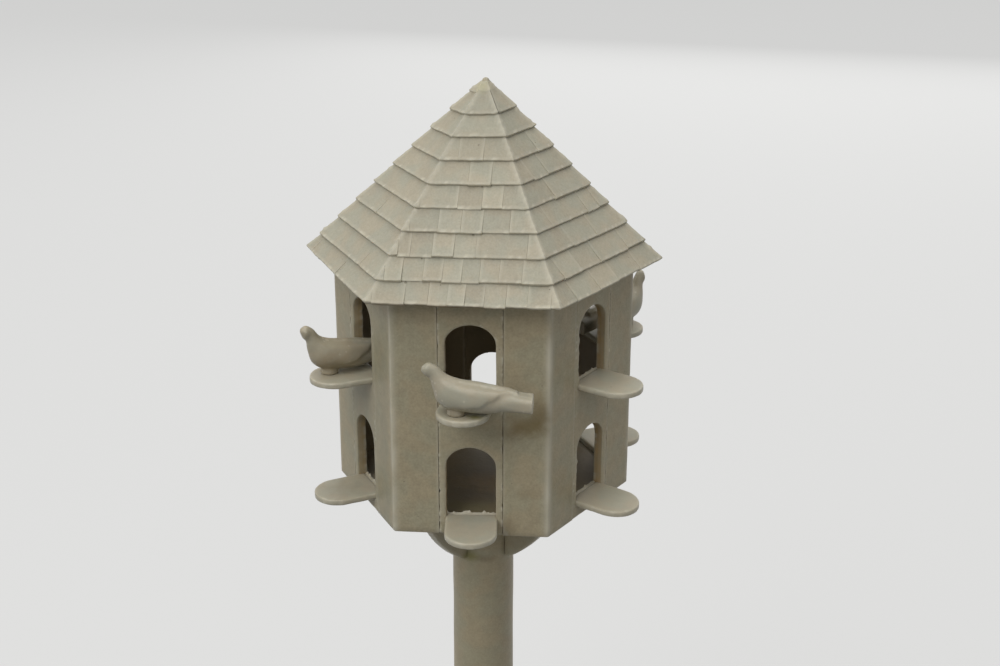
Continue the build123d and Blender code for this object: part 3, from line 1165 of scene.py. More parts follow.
def hole_rim(point):
    """Paler resin in a narrow band round each nest hole, and on the narrow strips beside them."""
    band = 0.0
    for sill in SILLS.values():
        spring = springs(sill)
        if sill - 0.5 < point.y <= spring:
            band = max(band, SIDE_BAND if abs(point.x) > HOLE_HALF - 0.1 else 0.0)
        elif spring < point.y < spring + ARCH_RISE + 1:
            beyond = math.hypot(point.x / HOLE_HALF, (point.y - spring) / ARCH_RISE) - 1
            beyond = max(0.0, beyond) / ARCH_BAND_REACH
            band = max(band, ARCH_BAND * math.exp(-beyond ** 2))
    return band


def inner_flecks(point, seed):
    """Flecks of flash along the inner edge of a nest hole."""
    near, (aside, inward) = 0.0, INNER_REACH
    for sill in SILLS.values():
        if sill < point.y <= springs(sill):
            near = max(near, math.exp(-(max(0.0, abs(point.x) - HOLE_HALF) / aside) ** 2))
    deep = math.exp(-((point.z + WALL_THICKNESS / 2) / inward) ** 2)
    crumbs = ragged((0, point.y, math.copysign(3, point.x)), 0.35, seed)
    return near * deep * min(1.3, 0.4 + 2.4 * crumbs)


arch_top = Vector((0, springs(SILLS["lower"]) + ARCH_RISE, 0))
print("flash at the top of an arch:", round(hole_rim(arch_top), 2))

# %% [markdown]
# The front wall has the most broken joints, the side walls nearly closed ones, and the right one
# has the most crumbs in its holes. The three walls at the back take middling values. A board that
# reaches a hair past its joints closes them, and leaves only a faint line.

# %% Six hole boards
CRACKED = {"front": 0.11, "right_front": 0.035, "left_front": 0.035}
CRUMBS = {"front": 2.2, "left_front": 0.6}
HOLE_CRUMBS = {"right_front": 0.24, "left_front": 0.08}
LAP = {"front": 0.025}
WALL_CELL = 0.15


def board_outline(wall, seed):
    """The edge of a hole board, nibbled along its sides, with two holes in it."""
    half, cracked = HOLE_BOARD_HALF + LAP.get(wall, 0.10), CRACKED.get(wall, 0.05)
    corners = [(-half, HOUSE_FOOT), (half, HOUSE_FOOT), (half, HOUSE_TOP), (-half, HOUSE_TOP)]
    edge = []
    for place, depth in enumerate((0.05, cracked, 0.02, cracked)):
        edge += nibbled(corners[place], corners[(place + 1) % 4], depth, seed + place)
    return [edge] + [nest_hole(sill, HOLE_CRUMBS.get(wall, 0.03), seed) for sill in SILLS.values()]


def hole_board(wall, seed):
    """One hole board, lying flat with its outer face up."""
    crumbs = CRUMBS.get(wall, 0.35)
    flat = plate(board_outline(wall, seed), WALL_THICKNESS)
    mesh = uneven(recast(flat, WALL_CELL, 2), 2.2, 0.02, seed)
    for vertex in mesh.vertices:
        if vertex.co.z > WALL_THICKNESS * 0.3:
            vertex.co.z += 0.08 * joint_flash(vertex.co.y, vertex.co.x, crumbs, seed)

    def amount_at(point):
        if point.z <= 0:
            return inner_flecks(point, seed)
        return max(joint_flash(point.y, point.x, crumbs, seed), hole_rim(point))

    return with_flash_and_highlight(mesh, amount_at)


wall_middle = Matrix.Translation((0, -WALL_REACH + WALL_THICKNESS / 2, 0))
stood_up = Matrix.Rotation(math.pi / 2, 4, "X")
hole_boards = []
for wall, heading in HEADINGS.items():
    name, mesh = f"{wall}_hole_board", hole_board(wall, heading / 7)
    place = swung(heading) @ (wall_middle @ stood_up)
    hole_boards.append(put_in_place(f"{name}_cast", mesh, place, wall_resin, [name]))
print("hole boards:", triangles(hole_boards), "triangles")

# %% [markdown]
# At each corner of the house the side boards of two neighbouring walls meet. No joint shows there,
# only a soft rounded edge that catches the light, and that light is a painted highlight along it.
# So the two are made as one angled casting that stands for both solids. Its plan is a blunt V, and
# rings of that plan are stacked from the foot of the wall to the eaves, closer together at both
# ends, where the edges are rounded.

# %% Plan of a corner
CORNER_ROUND = 0.32


def corner_plan():
    """Plan of two side boards that meet at a corner pointing to the front."""
    inner_edge = HOLE_BOARD_HALF + GLUE_GAP
    left = [swung(-30) @ Vector((inner_edge, -reach, 0)) for reach in (ROOM_REACH, WALL_REACH)]
    right = [Vector((-point.x, point.y, 0)) for point in reversed(left)]
    inner_corner = Vector((0, -ROOM_REACH / math.cos(HALF_CORNER), 0))
    centre = Vector((0, (CORNER_ROUND - WALL_REACH) / math.cos(HALF_CORNER), 0))
    bend = [math.radians(angle) for angle in range(-30, 31, 10)]
    nose = [centre + Vector((math.sin(a), -math.cos(a), 0)) * CORNER_ROUND for a in bend]
    return nose + right + [inner_corner] + left


def divided(outline, length):
    """The same closed outline with points no further apart than a length."""
    points = []
    for place, point in enumerate(outline):
        after = outline[(place + 1) % len(outline)]
        steps = max(1, math.ceil((after - point).length / length))
        points += [point.lerp(after, step / steps) for step in range(steps)]
    return points


def drawn_in(ring, amount):
    """A ring drawn in a little towards its middle line, for the rounded top and foot of a board."""
    count = len(ring)
    moved = []
    for place, point in enumerate(ring):
        along = ring[(place + 1) % count] - ring[place - 1]
        inward = Vector((-along.y, along.x, 0)).normalized()
        moved.append(point + inward * amount)
    return moved


corner_ring = divided(corner_plan(), 0.3)
print("points round a corner board:", len(corner_ring))

# %% Six corner boards
CORNER_ROWS = 44
CORNER_ENDS = [(0.0, 0.10), (0.03, 0.05), (0.10, 0.0)]
# a painted highlight along the rounded corner, strongest on the front one
CORNER_HIGHLIGHT = {"front": 1.3}
CORNER_HIGHLIGHT_REACH = 0.44
CORNER_HIGHLIGHT_PATCHES = 1.8


def corner_board(seed, highlight_strength):
    """Two side boards as one casting, its rounded corner to the front with a painted highlight."""
    end = CORNER_ENDS[-1][0]
    between = HOUSE_TOP - HOUSE_FOOT - 2 * end
    levels = [(HOUSE_FOOT + up, amount) for up, amount in CORNER_ENDS]
    for row in range(1, CORNER_ROWS):
        levels.append((HOUSE_FOOT + end + between * row / CORNER_ROWS, 0.0))
    levels += [(HOUSE_TOP - up, amount) for up, amount in reversed(CORNER_ENDS)]
    rings = []
    for level, amount in levels:
        rings.append([point + Vector((0, 0, level)) for point in drawn_in(corner_ring, amount)])
    mesh = uneven(stacked(rings), 2.2, 0.02, seed)
    nose = WALL_REACH / math.cos(HALF_CORNER)

    def amount_at(point):
        from_nose = math.hypot(point.x, point.y + nose)
        patchy = 0.75 + 0.5 * noise.noise(Vector((seed, 0, point.z / CORNER_HIGHLIGHT_PATCHES)))
        return highlight_strength * patchy * math.exp(-(from_nose / CORNER_HIGHLIGHT_REACH) ** 3)

    return with_flash_and_highlight(mesh, amount_at)


corner_boards = []
for place, wall in enumerate(WALL_NAMES):
    after = WALL_NAMES[(place + 1) % 6]
    name, nodes = f"{wall}_to_{after}_corner", [f"{wall}_right_board", f"{after}_left_board"]
    mesh = corner_board(place + 2.5, CORNER_HIGHLIGHT.get(wall, 1.0))
    turn = swung(HEADINGS[wall] + 30)
    corner_boards.append(
        put_in_place(name, mesh, turn, wall_resin, nodes, sharp=50)
    )
print("corner boards:", triangles(corner_boards), "triangles")

# %% [markdown]
# Each nest hole has a landing board, a small tongue with a round outer end and soft edges, that
# runs right through the wall. One was glued in askew, and some droop a little towards the tip, as
# thin castings do. They are plates too, with more smoothing than the walls had.

# %% Finish of the landing boards
LANDING_STAINS_AND_SHADOWS = [
    # glue and dirt beside the foot of the front pigeon, with the shade under its body painted in
    ((0.8, -17.0, 82.25), (1.0, 0.7, 0.5), OLIVE, 0.9),
    ((-1.2, -16.0, 82.25), (1.2, 1.3, 0.4), BROWN, 0.45),
    # a darker brown patch on the lower board to the left
    ((-13.4, -8.0, 69.85), (4.0, 4.0, 1.0), BROWN, 0.30),
]
landing_resin = resin(
    "tongue_resin", LANDING_TONE, grain=0.12, mottle=0.14, rough=0.42, corner_shade_and_dirt=0.3,
    blots=LANDING_STAINS_AND_SHADOWS
)

# %% Shape of a landing board
LANDING_CELL = 0.12
ROUND_START = -WALL_REACH - LANDING_REACH + LANDING_HALF
RIM_REACH = 0.17
LIP_HEIGHT = 0.08
LIP_CRUMBS = 0.30
CRACK_DEPTH = 0.22


def tongue():
    """Outline of a landing board, its outer end to the front."""
    turns = [math.pi * (1 + step / 32) for step in range(33)]
    tip = [(LANDING_HALF * math.cos(t), ROUND_START + LANDING_HALF * math.sin(t)) for t in turns]
    return tip + [(LANDING_HALF, -ROOM_REACH), (-LANDING_HALF, -ROOM_REACH)]


def rim_flash(point, seed):
    """Flash round the rim of a landing board."""
    from_rim = LANDING_HALF - math.hypot(point.x, min(0.0, point.y - ROUND_START))
    near = math.exp(-(from_rim / RIM_REACH) ** 2)
    return near * min(1.0, 0.42 + 0.7 * ragged(point, 0.6, seed))


def inner_lip(mesh, amount, seed):
    """A ragged raised lip across the inner end of a board, with a crack in front of it."""
    for vertex in mesh.vertices:
        if vertex.co.z > 0:
            inward = vertex.co.y + ROOM_REACH
            crumbs = min(1.5, ragged((vertex.co.x, seed, 0), 0.32, 1.0))
            ridge = LIP_HEIGHT + LIP_CRUMBS * crumbs
            vertex.co.z += amount * ridge * math.exp(-((inward + 0.04) / 0.12) ** 2)
            vertex.co.z -= amount * CRACK_DEPTH * math.exp(-((inward + 0.34) / 0.09) ** 2)


print("points round a landing board:", len(tongue()))

# %% Twelve landing boards
SKEW = {"front_upper": -7.0, "front_lower": 4.0}
DROOP = {"right_front_lower": 0.18, "right_front_upper": 0.06, "left_front_lower": 0.05}
LIP = {
    "front_lower": 1.0, "right_front_lower": 0.6, "right_front_upper": 0.7, "left_front_lower": 0.5,
}


def landing_board(hole, seed):
    """The landing board of one nest hole, skewed, drooping and chipped as that one is."""
    lip, droop = LIP.get(hole, 0.0), DROOP.get(hole, 0.02)
    mesh = recast(plate([tongue()], LANDING_THICKNESS), LANDING_CELL, 4)
    uneven(mesh, 1.4, 0.025, seed)

    def amount_at(point):
        at_lip = 0.8 * lip * math.exp(-((point.y + ROOM_REACH) / 0.22) ** 2)
        return rim_flash(point, seed) + at_lip

    with_flash_and_highlight(mesh, amount_at)
    inner_lip(mesh, lip, seed)
    for vertex in mesh.vertices:
        outward = max(0.0, -vertex.co.y - WALL_REACH) / LANDING_REACH
        vertex.co.z -= droop * outward ** 2
    mesh.transform(wall_middle @ swung(SKEW.get(hole, 0.0)) @ wall_middle.inverted())
    for vertex in mesh.vertices:
        vertex.co.y = min(vertex.co.y, -ROOM_REACH)
    return mesh


landings = []
for wall, heading in HEADINGS.items():
    for level, sill in SILLS.items():
        hole = f"{wall}_{level}"
        name, mesh = f"{hole}_landing", landing_board(hole, heading / 9 + sill)
        place = swung(heading) @ Matrix.Translation((0, 0, sill - LANDING_THICKNESS / 2))
        landings.append(
            put_in_place(f"{name}_cast", mesh, place, landing_resin, [name])
        )
print("landing boards:", triangles(landings), "triangles")

# %% [markdown]
# The post is a plain cast rod with a flat foot, set into a shallow socket under the floor. Rings
# of points keep it light, and a slow waver in its skin stops it from looking like a turned bar.
# Glue has run down it a little below the brackets.

# %% Post
POST_STAINS = [
    ((-1.3, -3.0, 60.2), (1.6, 1.0, 0.8), OLIVE, 0.9),
    ((0.6, -3.2, 60.0), (1.6, 1.0, 0.6), BROWN, 0.4),
]
POST_STEPS = 90
POST_FOOT = [(0.12, 0.0), (0.03, 0.04), (0.0, 0.15)]
FOOT_ROUND = POST_FOOT[-1][1]
TOP_ROUND = 0.10


def circle(radius, height, points=72):
    """A ring of points round the post's middle line."""
    turns = [2 * math.pi * step / points for step in range(points)]
    return [Vector((radius * math.cos(t), radius * math.sin(t), height)) for t in turns]


# the post and the brackets take the shaded wall tone: painted shade
post_resin = resin("rod_resin", SHADED_WALL_TONE, grain=0.30, mottle=0.26, rough=0.46, blots=POST_STAINS)
post_rings = [circle(POST_RADIUS - inset, up) for inset, up in POST_FOOT]
plain_length = POST_TOP - (FOOT_ROUND + TOP_ROUND)
for step in range(1, POST_STEPS + 1):
    post_rings.append(circle(POST_RADIUS, FOOT_ROUND + plain_length * step / POST_STEPS))
post_rings.append(circle(POST_RADIUS - 0.08, POST_TOP))
post_mesh = uneven(stacked(post_rings), 3.5, 0.03, 8)
for vertex in post_mesh.vertices:
    vertex.co.z = max(vertex.co.z, 0.0)
in_place = Matrix.Identity(4)
post = put_in_place("post_cast", post_mesh, in_place, post_resin, ["post"])
print("post:", triangles([post]), "triangles")

# %% [markdown]
# The floor plate closes the room from below. It could be a plain six-sided slab, but the post
# stands in a shallow socket in its underside. So its rings run across the socket, down its wall,
# out over the underside and back over the top.

# %% Floor plate
SOCKET_RADIUS = POST_RADIUS + GLUE_GAP
SOCKET_TOP = POST_TOP + GLUE_GAP
FLOOR_POINTS = 120
INNERMOST = 0.5


def floor_ring(height):
    """A ring round the floor's six straight edges."""
    ring = []
    for step in range(FLOOR_POINTS):
        turn = 2 * math.pi * step / FLOOR_POINTS
        off_face = (turn + math.pi / 2) % (math.pi / 3)
        off_face = min(off_face, math.pi / 3 - off_face)
        reach = (ROOM_REACH - GLUE_GAP) / math.cos(off_face)
        ring.append(Vector((reach * math.cos(turn), reach * math.sin(turn), height)))
    return ring


def between(first, second, steps=12):
    """Rings spread evenly from one ring to another, without the first."""
    shares = [step / steps for step in range(1, steps + 1)]
    return [[a.lerp(b, share) for a, b in zip(first, second)] for share in shares]


socket = circle(SOCKET_RADIUS, HOUSE_FOOT, FLOOR_POINTS)
over = floor_ring(FLOOR_TOP)
floor_rings = [circle(radius, SOCKET_TOP, FLOOR_POINTS) for radius in (INNERMOST, SOCKET_RADIUS)]
floor_rings += [socket] + between(socket, floor_ring(HOUSE_FOOT))
floor_rings += [over] + between(over, circle(INNERMOST, FLOOR_TOP, FLOOR_POINTS))
floor_mesh = uneven(stacked(floor_rings), 2.5, 0.012, 5)
floor_plate = put_in_place(
    "floor_plate_cast", floor_mesh, in_place, wall_resin, ["floor_plate"]
)
print("floor plate:", triangles([floor_plate]), "triangles")

# %% [markdown]
# Four plate brackets stand on the arms of a cross between the post and the floor. Each is a flat
# plate with one curved free edge. They are drawn like the hole boards, as an outline of a given
# thickness, and then turned to their headings.

# %% Outline of a bracket
BRACKET_TIP = 9.9
BRACKET_DROP = 8.0
BRACKET_BULGE = 0.72
BRACKET_TOE = 0.56
BRACKET_ROOT = POST_RADIUS + GLUE_GAP
FREE_EDGE_START = Vector((BRACKET_TIP, -GLUE_GAP - BRACKET_TOE))
FREE_EDGE = Vector((BRACKET_ROOT + BRACKET_TOE, -BRACKET_DROP)) - FREE_EDGE_START
OUT_OF_EDGE = Vector((-FREE_EDGE.y, FREE_EDGE.x)).normalized()


def bulge_at(share):
    """How far the free edge stands out of a straight line, at a share of the way down."""
    return BRACKET_BULGE * 4 * share * (1 - share)


def bracket_outline():
    """The bracket seen from its side: out from the post, and down from the floor."""
    edge = []
    for share in [step / 20 for step in range(21)]:
        edge.append(tuple(FREE_EDGE_START + FREE_EDGE * share + OUT_OF_EDGE * bulge_at(share)))
    top = [(BRACKET_ROOT, -GLUE_GAP), (BRACKET_TIP, -GLUE_GAP)]
    return top + edge + [(BRACKET_ROOT, -BRACKET_DROP)]


def bracket_flash_and_highlight(point):
    """Flash along the free edge of a bracket, with a painted highlight on that rounded edge."""
    offset = point.xy - FREE_EDGE_START
    share = offset.dot(FREE_EDGE) / FREE_EDGE.length_squared
    from_edge = bulge_at(share) - offset.dot(OUT_OF_EDGE)
    return 0.7 * math.exp(-(from_edge / 0.22) ** 2)


print("free edge of a bracket:", round(FREE_EDGE.length, 2), "mm long")

# %% Four brackets
BRACKET_TURN = 56.0
BRACKET_THICKNESS = 0.95
brackets = []
for place in range(4):
    name, flat = f"bracket_{place + 1}", plate([bracket_outline()], BRACKET_THICKNESS)
    mesh = with_flash_and_highlight(uneven(recast(flat, WALL_CELL, 2), 1.6, 0.02, place + 60), bracket_flash_and_highlight)
    stand = Matrix.Translation((0, 0, HOUSE_FOOT)) @ swung(BRACKET_TURN + 90 * place - 90)
    brackets.append(
        put_in_place(f"{name}_cast", mesh, stand @ stood_up, post_resin, [name])
    )
print("brackets:", triangles(brackets), "triangles")

# %% [markdown]
# The pigeons are single castings, simplified as such small figures are: a smooth body, folded
# wings that show as one soft ridge from the shoulder back to the wing tips, a thick blunt tail and
# an oval foot under the breast. They could be sculpted, but a body is well told by its sections. It
# is a run of rings from beak to tail that follow a smooth curve between twelve sections.

# %% Sections of a pigeon
PIGEON_LENGTH = 10.25
NECK_SECTIONS = 4
NECK_ROOT = Vector((0.049, 0.239))
PIGEON_SECTIONS = [
    # back along, back up, belly along, belly up, half width, as shares of the length
    (0.291, 0.460, 0.298, 0.396, 0.036),
    (0.244, 0.487, 0.271, 0.366, 0.054),
    (0.172, 0.461, 0.230, 0.334, 0.051),
    (0.100, 0.395, 0.207, 0.242, 0.073),
    (0.037, 0.364, 0.168, 0.127, 0.107),
    (-0.027, 0.344, 0.075, 0.059, 0.132),
    (-0.115, 0.318, -0.060, 0.036, 0.139),
    (-0.214, 0.295, -0.196, 0.026, 0.135),
    (-0.322, 0.274, -0.322, 0.028, 0.117),
    (-0.449, 0.245, -0.449, 0.050, 0.107),
    (-0.566, 0.212, -0.566, 0.057, 0.109),
    (-0.688, 0.201, -0.688, 0.051, 0.117),
]


def smooth_between(stations, place):
    """Catmull-Rom through a list of equally spaced vectors."""
    low = min(int(place), len(stations) - 2)
    t = place - low
    p = [stations[min(max(low + k, 0), len(stations) - 1)] for k in (-1, 0, 1, 2)]
    bent = (p[1] * 2 + (p[2] - p[0]) * t + (p[0] * 2 - p[1] * 5 + p[2] * 4 - p[3]) * t * t
            + (p[1] * 3 - p[0] - p[2] * 3 + p[3]) * t ** 3)
    return bent / 2


def section_points(neck_raise):
    """Back and belly points of the sections in millimetres, the neck turned up by some degrees."""
    stations = []
    for place, (ba, bu, ea, eu, half) in enumerate(PIGEON_SECTIONS):
        turn = math.radians(neck_raise) * max(0.0, 1 - place / NECK_SECTIONS)
        bend = Matrix.Rotation(turn, 2)
        back = NECK_ROOT + bend @ (Vector((ba, bu)) - NECK_ROOT)
        belly = NECK_ROOT + bend @ (Vector((ea, eu)) - NECK_ROOT)
        stations.append(Vector((*back, *belly)) * PIGEON_LENGTH)
    widths = [Vector((section[4], 0)) * PIGEON_LENGTH for section in PIGEON_SECTIONS]
    return stations, widths


print("a pigeon is", round(2 * max(s[4] for s in PIGEON_SECTIONS) * PIGEON_LENGTH, 2), "mm wide")

# %% [markdown]
# The wings are raised on the rings themselves. Two lines run along each flank, given as stations
# among the sections and degrees down from the back: the edge of the folded wing, and the ridge of
# the shoulder. From how far a point is off these lines comes how far it stands out.

# %% Folded wings
WING_LIFT = 0.19
SHOULDER_LIFT = 0.08
CREST_LIFT = 0.07
WING_TIP = 9.85
WING_EDGE = [(4.8, 116), (6.0, 119), (7.0, 107), (8.0, 77), (9.0, 32), (WING_TIP, 12)]
SHOULDER_RIDGE = [(2.6, 62), (4.0, 60), (5.5, 54), (7.6, 53), (8.5, 47), (9.4, 20)]


def eased_step(value, low, high):
    """0 below low, 1 above high, and smooth between."""
    t = max(0.0, min(1.0, (value - low) / (high - low)))
    return t * t * (3 - 2 * t)


def angle_along(line, place):
    """How far down the flank a line of the wing runs, in degrees from the back."""
    after = max(1, min(len(line) - 1, bisect.bisect([station for station, _ in line], place)))
    (a, low), (b, high) = line[after - 1], line[after]
    return low + (high - low) * eased_step(place, a, b)


def wing_relief(place, off_back):
    """How far the folded wings stand out of the body, at an angle down from the back."""
    wing = angle_along(WING_EDGE, place)
    tip = 1 - eased_step(place, WING_TIP - 0.05, WING_TIP + 0.12)
    lift = WING_LIFT * eased_step(place, 4.8, 7.0) * tip / (1 + math.exp((off_back - wing) / 3.5))
    ridge = angle_along(SHOULDER_RIDGE, place)
    shoulder = eased_step(place, 2.4, 4.0) * (1 - eased_step(place, 8.6, 9.6))
    bulge = SHOULDER_LIFT * math.exp(-((off_back - ridge) / 14) ** 2)
    hollow = SHOULDER_LIFT * math.exp(-((off_back - ridge * 0.42) / (ridge * 0.30)) ** 2)
    crest = CREST_LIFT * math.exp(-(off_back / 8) ** 2) * eased_step(place, 6.5, 8.0) * tip
    return lift + (bulge - hollow) * shoulder + crest


print("wings stand out", round(wing_relief(7.0, 53), 2), "mm at the shoulder")

# %% Body of a pigeon
BODY_RINGS = 110
RING_POINTS = 96
BEAK_RINGS = [(0.45, 0.12), (0.8, 0.08)]
TAIL_BOXINESS = 0.42
TAIL_START = 8.6
TAIL_EASE = 1.5


def body_ring(stations, widths, place):
    """One ring of the body, round in front and boxy towards the tail."""
    ends = smooth_between(stations, place)
    back, belly = Vector((0, -ends[0], ends[1])), Vector((0, -ends[2], ends[3]))
    half = smooth_between(widths, place)[0]
    middle, up = (back + belly) / 2, (back - belly) / 2
    boxy = 1 - TAIL_BOXINESS * max(0.0, min(1.0, (place - TAIL_START) / TAIL_EASE))
    ring = []
    for step in range(RING_POINTS):
        turn = 2 * math.pi * step / RING_POINTS
        across, high = math.sin(turn), math.cos(turn)
        across = math.copysign(abs(across) ** boxy, across)
        high = math.copysign(abs(high) ** boxy, high)
        point = middle + up * high + Vector((half * across, 0, 0))
        off_back = math.degrees(min(turn, 2 * math.pi - turn))
        ring.append(point + (point - middle).normalized() * wing_relief(place, off_back))
    return ring


def middle_of(ring):
    """The middle of a ring of points."""
    return sum(ring, Vector()) / len(ring)


def pigeon_body(neck_raise):
    """The body from its rounded beak to the cut end of its tail."""
    stations, widths = section_points(neck_raise)
    last = len(stations) - 1
    places = [last * step / BODY_RINGS for step in range(BODY_RINGS + 1)]
    rings = [body_ring(stations, widths, place) for place in places]
    beak, tip = rings[0], middle_of(rings[0])
    forward = (tip - middle_of(rings[4])).normalized()
    rounded = [[tip + (p - tip) * s + forward * f for p in beak] for s, f in BEAK_RINGS]
    return stacked(rounded + rings)


print("a body has", BODY_RINGS + 1 + len(BEAK_RINGS), "rings of", RING_POINTS, "points")

# %% [markdown]
# A pigeon's foot is a low oval disc. Body and foot run together in the mould, so the two are put
# into one mesh and recast as one skin, which blends them where they touch. Flash lies along the
# inner edges of the wings on the back, and flash with a painted highlight round the cut end of the
# tail.

# %% Foot and flash of a pigeon
FOOT_LENGTH = 0.17
FOOT_WIDTH = 0.16
FOOT_HEIGHT = 0.127
FOOT_RINGS = [(0.0, 0.92), (0.08, 1.0), (0.35, 0.97), (1.0, 0.9)]
WING_EDGES_APART = 0.8
WING_FLASH_REACH = 0.14
TAIL_FLASH_AND_HIGHLIGHT = 0.75
TAIL_FLASH_AND_HIGHLIGHT_REACH = 0.16


def pigeon_foot():
    """The oval foot, a little wider just above the board that it is glued to."""
    rings = []
    for up, grow in FOOT_RINGS:
        ring = circle(1.0, up * FOOT_HEIGHT * PIGEON_LENGTH, 64)
        wide = Vector((FOOT_WIDTH, FOOT_LENGTH)) * PIGEON_LENGTH / 2 * grow
        rings.append([Vector((p.x * wide.x, p.y * wide.y, p.z)) for p in ring])
    return stacked(rings)


def back_height(back):
    """Height of the back line so far behind the foot."""
    after = 1
    while after < len(PIGEON_SECTIONS) - 1 and -PIGEON_SECTIONS[after][0] * PIGEON_LENGTH < back:
        after += 1
    ends = PIGEON_SECTIONS[after - 1:after + 1]
    (a, low), (b, high) = [Vector(section[:2]) * PIGEON_LENGTH for section in ends]
    return low + (high - low) * (-back - a) / (b - a)


def pigeon_flash_and_highlight(point, seed):
    """Flash along the inner edges of the wings, and flash with painted highlight round the tail
    end.
    """
    wings = 0.0
    if point.y > 0.3 and point.z > back_height(point.y) - 0.25:
        off_edge = abs(abs(point.x) - WING_EDGES_APART / 2)
        flecks = min(1.0, 0.45 + 1.0 * ragged(point, 0.55, seed))
        wings = math.exp(-(off_edge / WING_FLASH_REACH) ** 2) * flecks
    from_end = -PIGEON_SECTIONS[-1][0] * PIGEON_LENGTH - point.y
    return max(wings, TAIL_FLASH_AND_HIGHLIGHT * math.exp(-(from_end / TAIL_FLASH_AND_HIGHLIGHT_REACH) ** 2))


print("the back is", round(back_height(3.0), 2), "mm high 3 mm behind the foot")

# %% One casting of body and foot
PIGEON_CELL = 0.085


def together(*meshes):
    """Several meshes as one."""
    joined = bmesh.new()
    for mesh in meshes:
        joined.from_mesh(mesh)
    whole = bpy.data.meshes.new("together")
    joined.to_mesh(whole)
    joined.free()
    return whole


def pigeon(neck_raise, seed):
    """Body and foot as one skin."""
    whole = together(pigeon_body(neck_raise), pigeon_foot())
    mesh = uneven(recast(whole, PIGEON_CELL, 2), 0.9, 0.02, seed)
    return with_flash_and_highlight(mesh, lambda point: pigeon_flash_and_highlight(point, seed))


print("skin of a pigeon: cells of", PIGEON_CELL, "mm")

# %% Three pigeons on their landing boards
PIGEON_STAINS_AND_SHADOWS = [
    # dirt with a painted shadow round the belly of the pigeon on the left, and a warmer tone over
    # it, and a painted shadow with dirt under the one in front
    ((-14.0, -8.1, 83.6), (3.0, 3.0, 1.8), BROWN, 0.50),
    ((-14.2, -8.2, 85.5), (6.0, 6.0, 5.0), AMBER, 0.17),
    ((-0.6, -16.6, 82.6), (2.2, 1.5, 0.9), BROWN, 0.60),
]
PIGEONS = {
    # wall, share of the landing board out, share of its width off centre, turn and neck raise
    "front": ("front", 0.68, -0.19, -90.0, 0.0),
    "left": ("left_front", 0.60, -0.12, 2.0, 9.0),
    "rear": ("right_rear", 0.72, 0.09, 15.0, 20.0),
}
pigeon_resin = resin(
    "bird_resin", grain=0.08, mottle=0.14, rough=0.38, corner_shade_and_dirt=0.5, speckle=0.0, blots=PIGEON_STAINS_AND_SHADOWS
)
pigeons = []
for place, (name, (wall, out, off_centre, turn, neck_raise)) in enumerate(PIGEONS.items()):
    along = -WALL_REACH - out * LANDING_REACH
    spot = Matrix.Translation((off_centre * 2 * LANDING_HALF, along, SILLS["upper"] + GLUE_GAP))
    stand = swung(HEADINGS[wall]) @ spot @ swung(turn)
    node, mesh = f"{name}_pigeon", pigeon(neck_raise, place + 30)
    pigeons.append(
        put_in_place(f"{node}_cast", mesh, stand, pigeon_resin, [node], sharp=70)
    )
print("pigeons:", triangles(pigeons), "triangles")

# %% [markdown]
# The stage is a wide pale floor under a pale backdrop. Both could be lit brightly, but then light
# would be thrown up under the model and wash out its shade. So they are pale only to the camera and
# in reflections, and plain grey to all other light. From below the floor is clear.

# %% Floor
def direct_view(recipe):
    """1 where the camera looks straight at a thing, or sees it mirrored or through glass."""
    seen = recipe.add("LightPath", {}, {})
    direct = seen.output("Is Camera Ray").largest(seen.output("Is Glossy Ray"))
    return direct.largest(seen.output("Is Transmission Ray"))


def pale_floor():
    """The floor's finish, which keeps the shadow of the model."""
    recipe = Recipe(bpy.data.materials.new("studio_floor"))
    dark = recipe.add("BsdfDiffuse", {}, {"Color": (0.16, 0.16, 0.155, 1.0)})
    glow = recipe.add("Emission", {}, {"Color": (0.50, 0.50, 0.495, 1.0)})
    shaded = recipe.add("BsdfDiffuse", {}, {"Color": (0.24, 0.24, 0.237, 1.0)})
    pale = recipe.add("AddShader", {}, {0: glow, 1: shaded})
    above = recipe.add("MixShader", {}, {0: direct_view(recipe), 1: dark, 2: pale})
    below = recipe.add("NewGeometry", {}, {}).output("Backfacing")
    nothing = recipe.add("BsdfTransparent", {}, {})
    both = recipe.add("MixShader", {}, {0: below, 1: above, 2: nothing})
    recipe.add("OutputMaterial", {}, {"Surface": both})
    return recipe.owner


FLOOR_HALF = 4
corners = [(x * FLOOR_HALF, y * FLOOR_HALF, 0) for x, y in ((-1, -1), (1, -1), (1, 1), (-1, 1))]
studio_mesh = bpy.data.meshes.new("studio_floor")
studio_mesh.from_pydata(corners, [], [(0, 1, 2, 3)])
studio_mesh.materials.append(pale_floor())
studio_floor = bpy.data.objects.new("studio_floor", studio_mesh)
bpy.context.scene.collection.objects.link(studio_floor)
print("floor:", 2 * FLOOR_HALF, "metres square")

# %% [markdown]
# Light comes from large soft panels: the main one high on the left and to the front, so the roof is
# bright, the walls under the eaves are in soft shade, and faces turned to the right are darker. A
# weak even light from all round fills the rest.

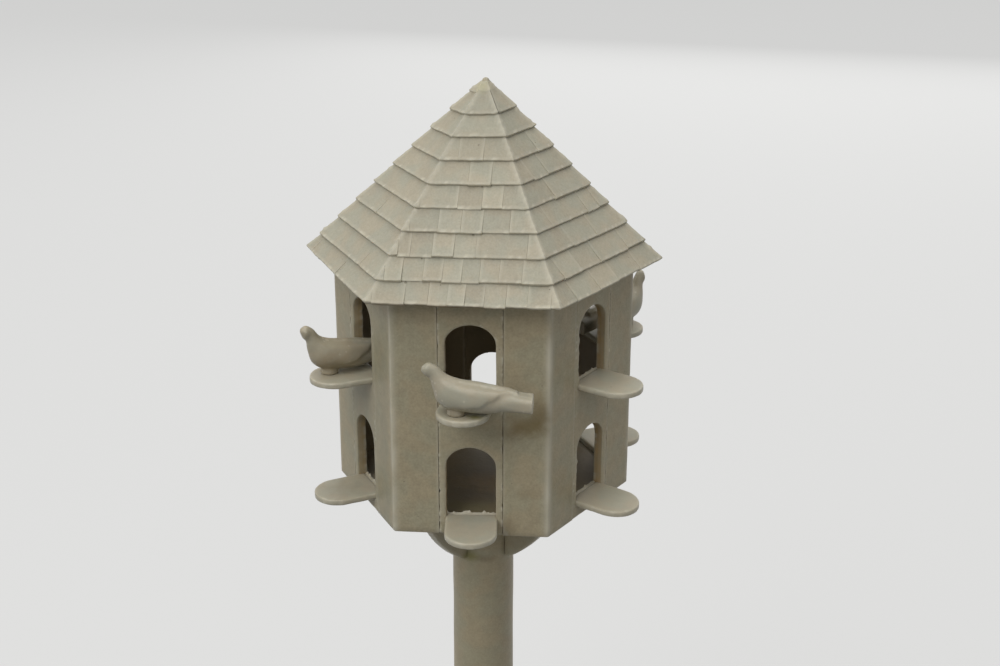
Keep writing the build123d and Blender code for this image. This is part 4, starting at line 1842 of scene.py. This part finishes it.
# %% Light
def panel(name, place, target, size, strength, mirrored=True):
    """A large soft lamp, facing a point of the model. Lengths are in metres."""
    lamp = bpy.data.lights.new(name, "AREA")
    lamp.shape = "SQUARE"
    lamp.size = size
    lamp.energy = strength
    holder = bpy.data.objects.new(name, lamp)
    holder.visible_glossy = mirrored
    holder.location = place
    aim = (Vector(target) - Vector(place)).to_track_quat("-Z", "Y")
    holder.rotation_euler = aim.to_euler()
    bpy.context.scene.collection.objects.link(holder)


HOUSE_MIDDLE = (0.0, 0.0, 0.085)
panel("main_panel", (-0.28, -0.38, 0.50), HOUSE_MIDDLE, 0.36, 1.45)
panel("top_panel", (0.0, -0.05, 0.75), HOUSE_MIDDLE, 0.6, 1.9)
panel("rear_panel", (0.08, 0.52, 0.26), HOUSE_MIDDLE, 0.45, 0.9, mirrored=False)

ROOM_LIGHT = 0.45
BACKDROP = 0.80
studio = Recipe(bpy.data.worlds.new("studio"))
strength = ROOM_LIGHT + direct_view(studio) * (BACKDROP - ROOM_LIGHT)
backdrop = studio.add("Background", {}, {"Color": (1.0, 1.0, 1.0, 1.0), "Strength": strength})
studio.add("OutputWorld", {}, {"Surface": backdrop})
bpy.context.scene.world = studio.owner
bpy.context.scene.view_settings.view_transform = "Standard"
print("light in the room:", ROOM_LIGHT, "backdrop:", BACKDROP)

# %% [markdown]
# The camera stands a little to the right of the front wall and looks down on the house from about
# sixteen centimetres away. So near, the roof looks larger than the parts below it, which tells the
# eye that the model is small.

# %% Camera
CAMERA_AT = Vector((13.73, -149.98, 141.29)) * MM
LOOKS_AT = Vector((1.727, 0.138, 83.966)) * MM
CAMERA_ROLL = 0.11

lens = bpy.data.cameras.new("camera")
lens.lens = 57.62
lens.sensor_width = 36.0
lens.clip_start = 0.005
lens.clip_end = 30.0
camera = bpy.data.objects.new("camera", lens)
aim = (LOOKS_AT - CAMERA_AT).to_track_quat("-Z", "Y").to_matrix().to_4x4()
roll = Matrix.Rotation(math.radians(CAMERA_ROLL), 4, "Z")
camera.matrix_world = Matrix.Translation(CAMERA_AT) @ aim @ roll
bpy.context.scene.collection.objects.link(camera)
bpy.context.scene.camera = camera
print("camera", round((LOOKS_AT - CAMERA_AT).length, 3), "metres from the house")

# %% [markdown]
# Last, the pieces that were made are counted, with their triangles.

# %% Measure and finish
print("pieces:", len(made), "with", triangles(made), "triangles")
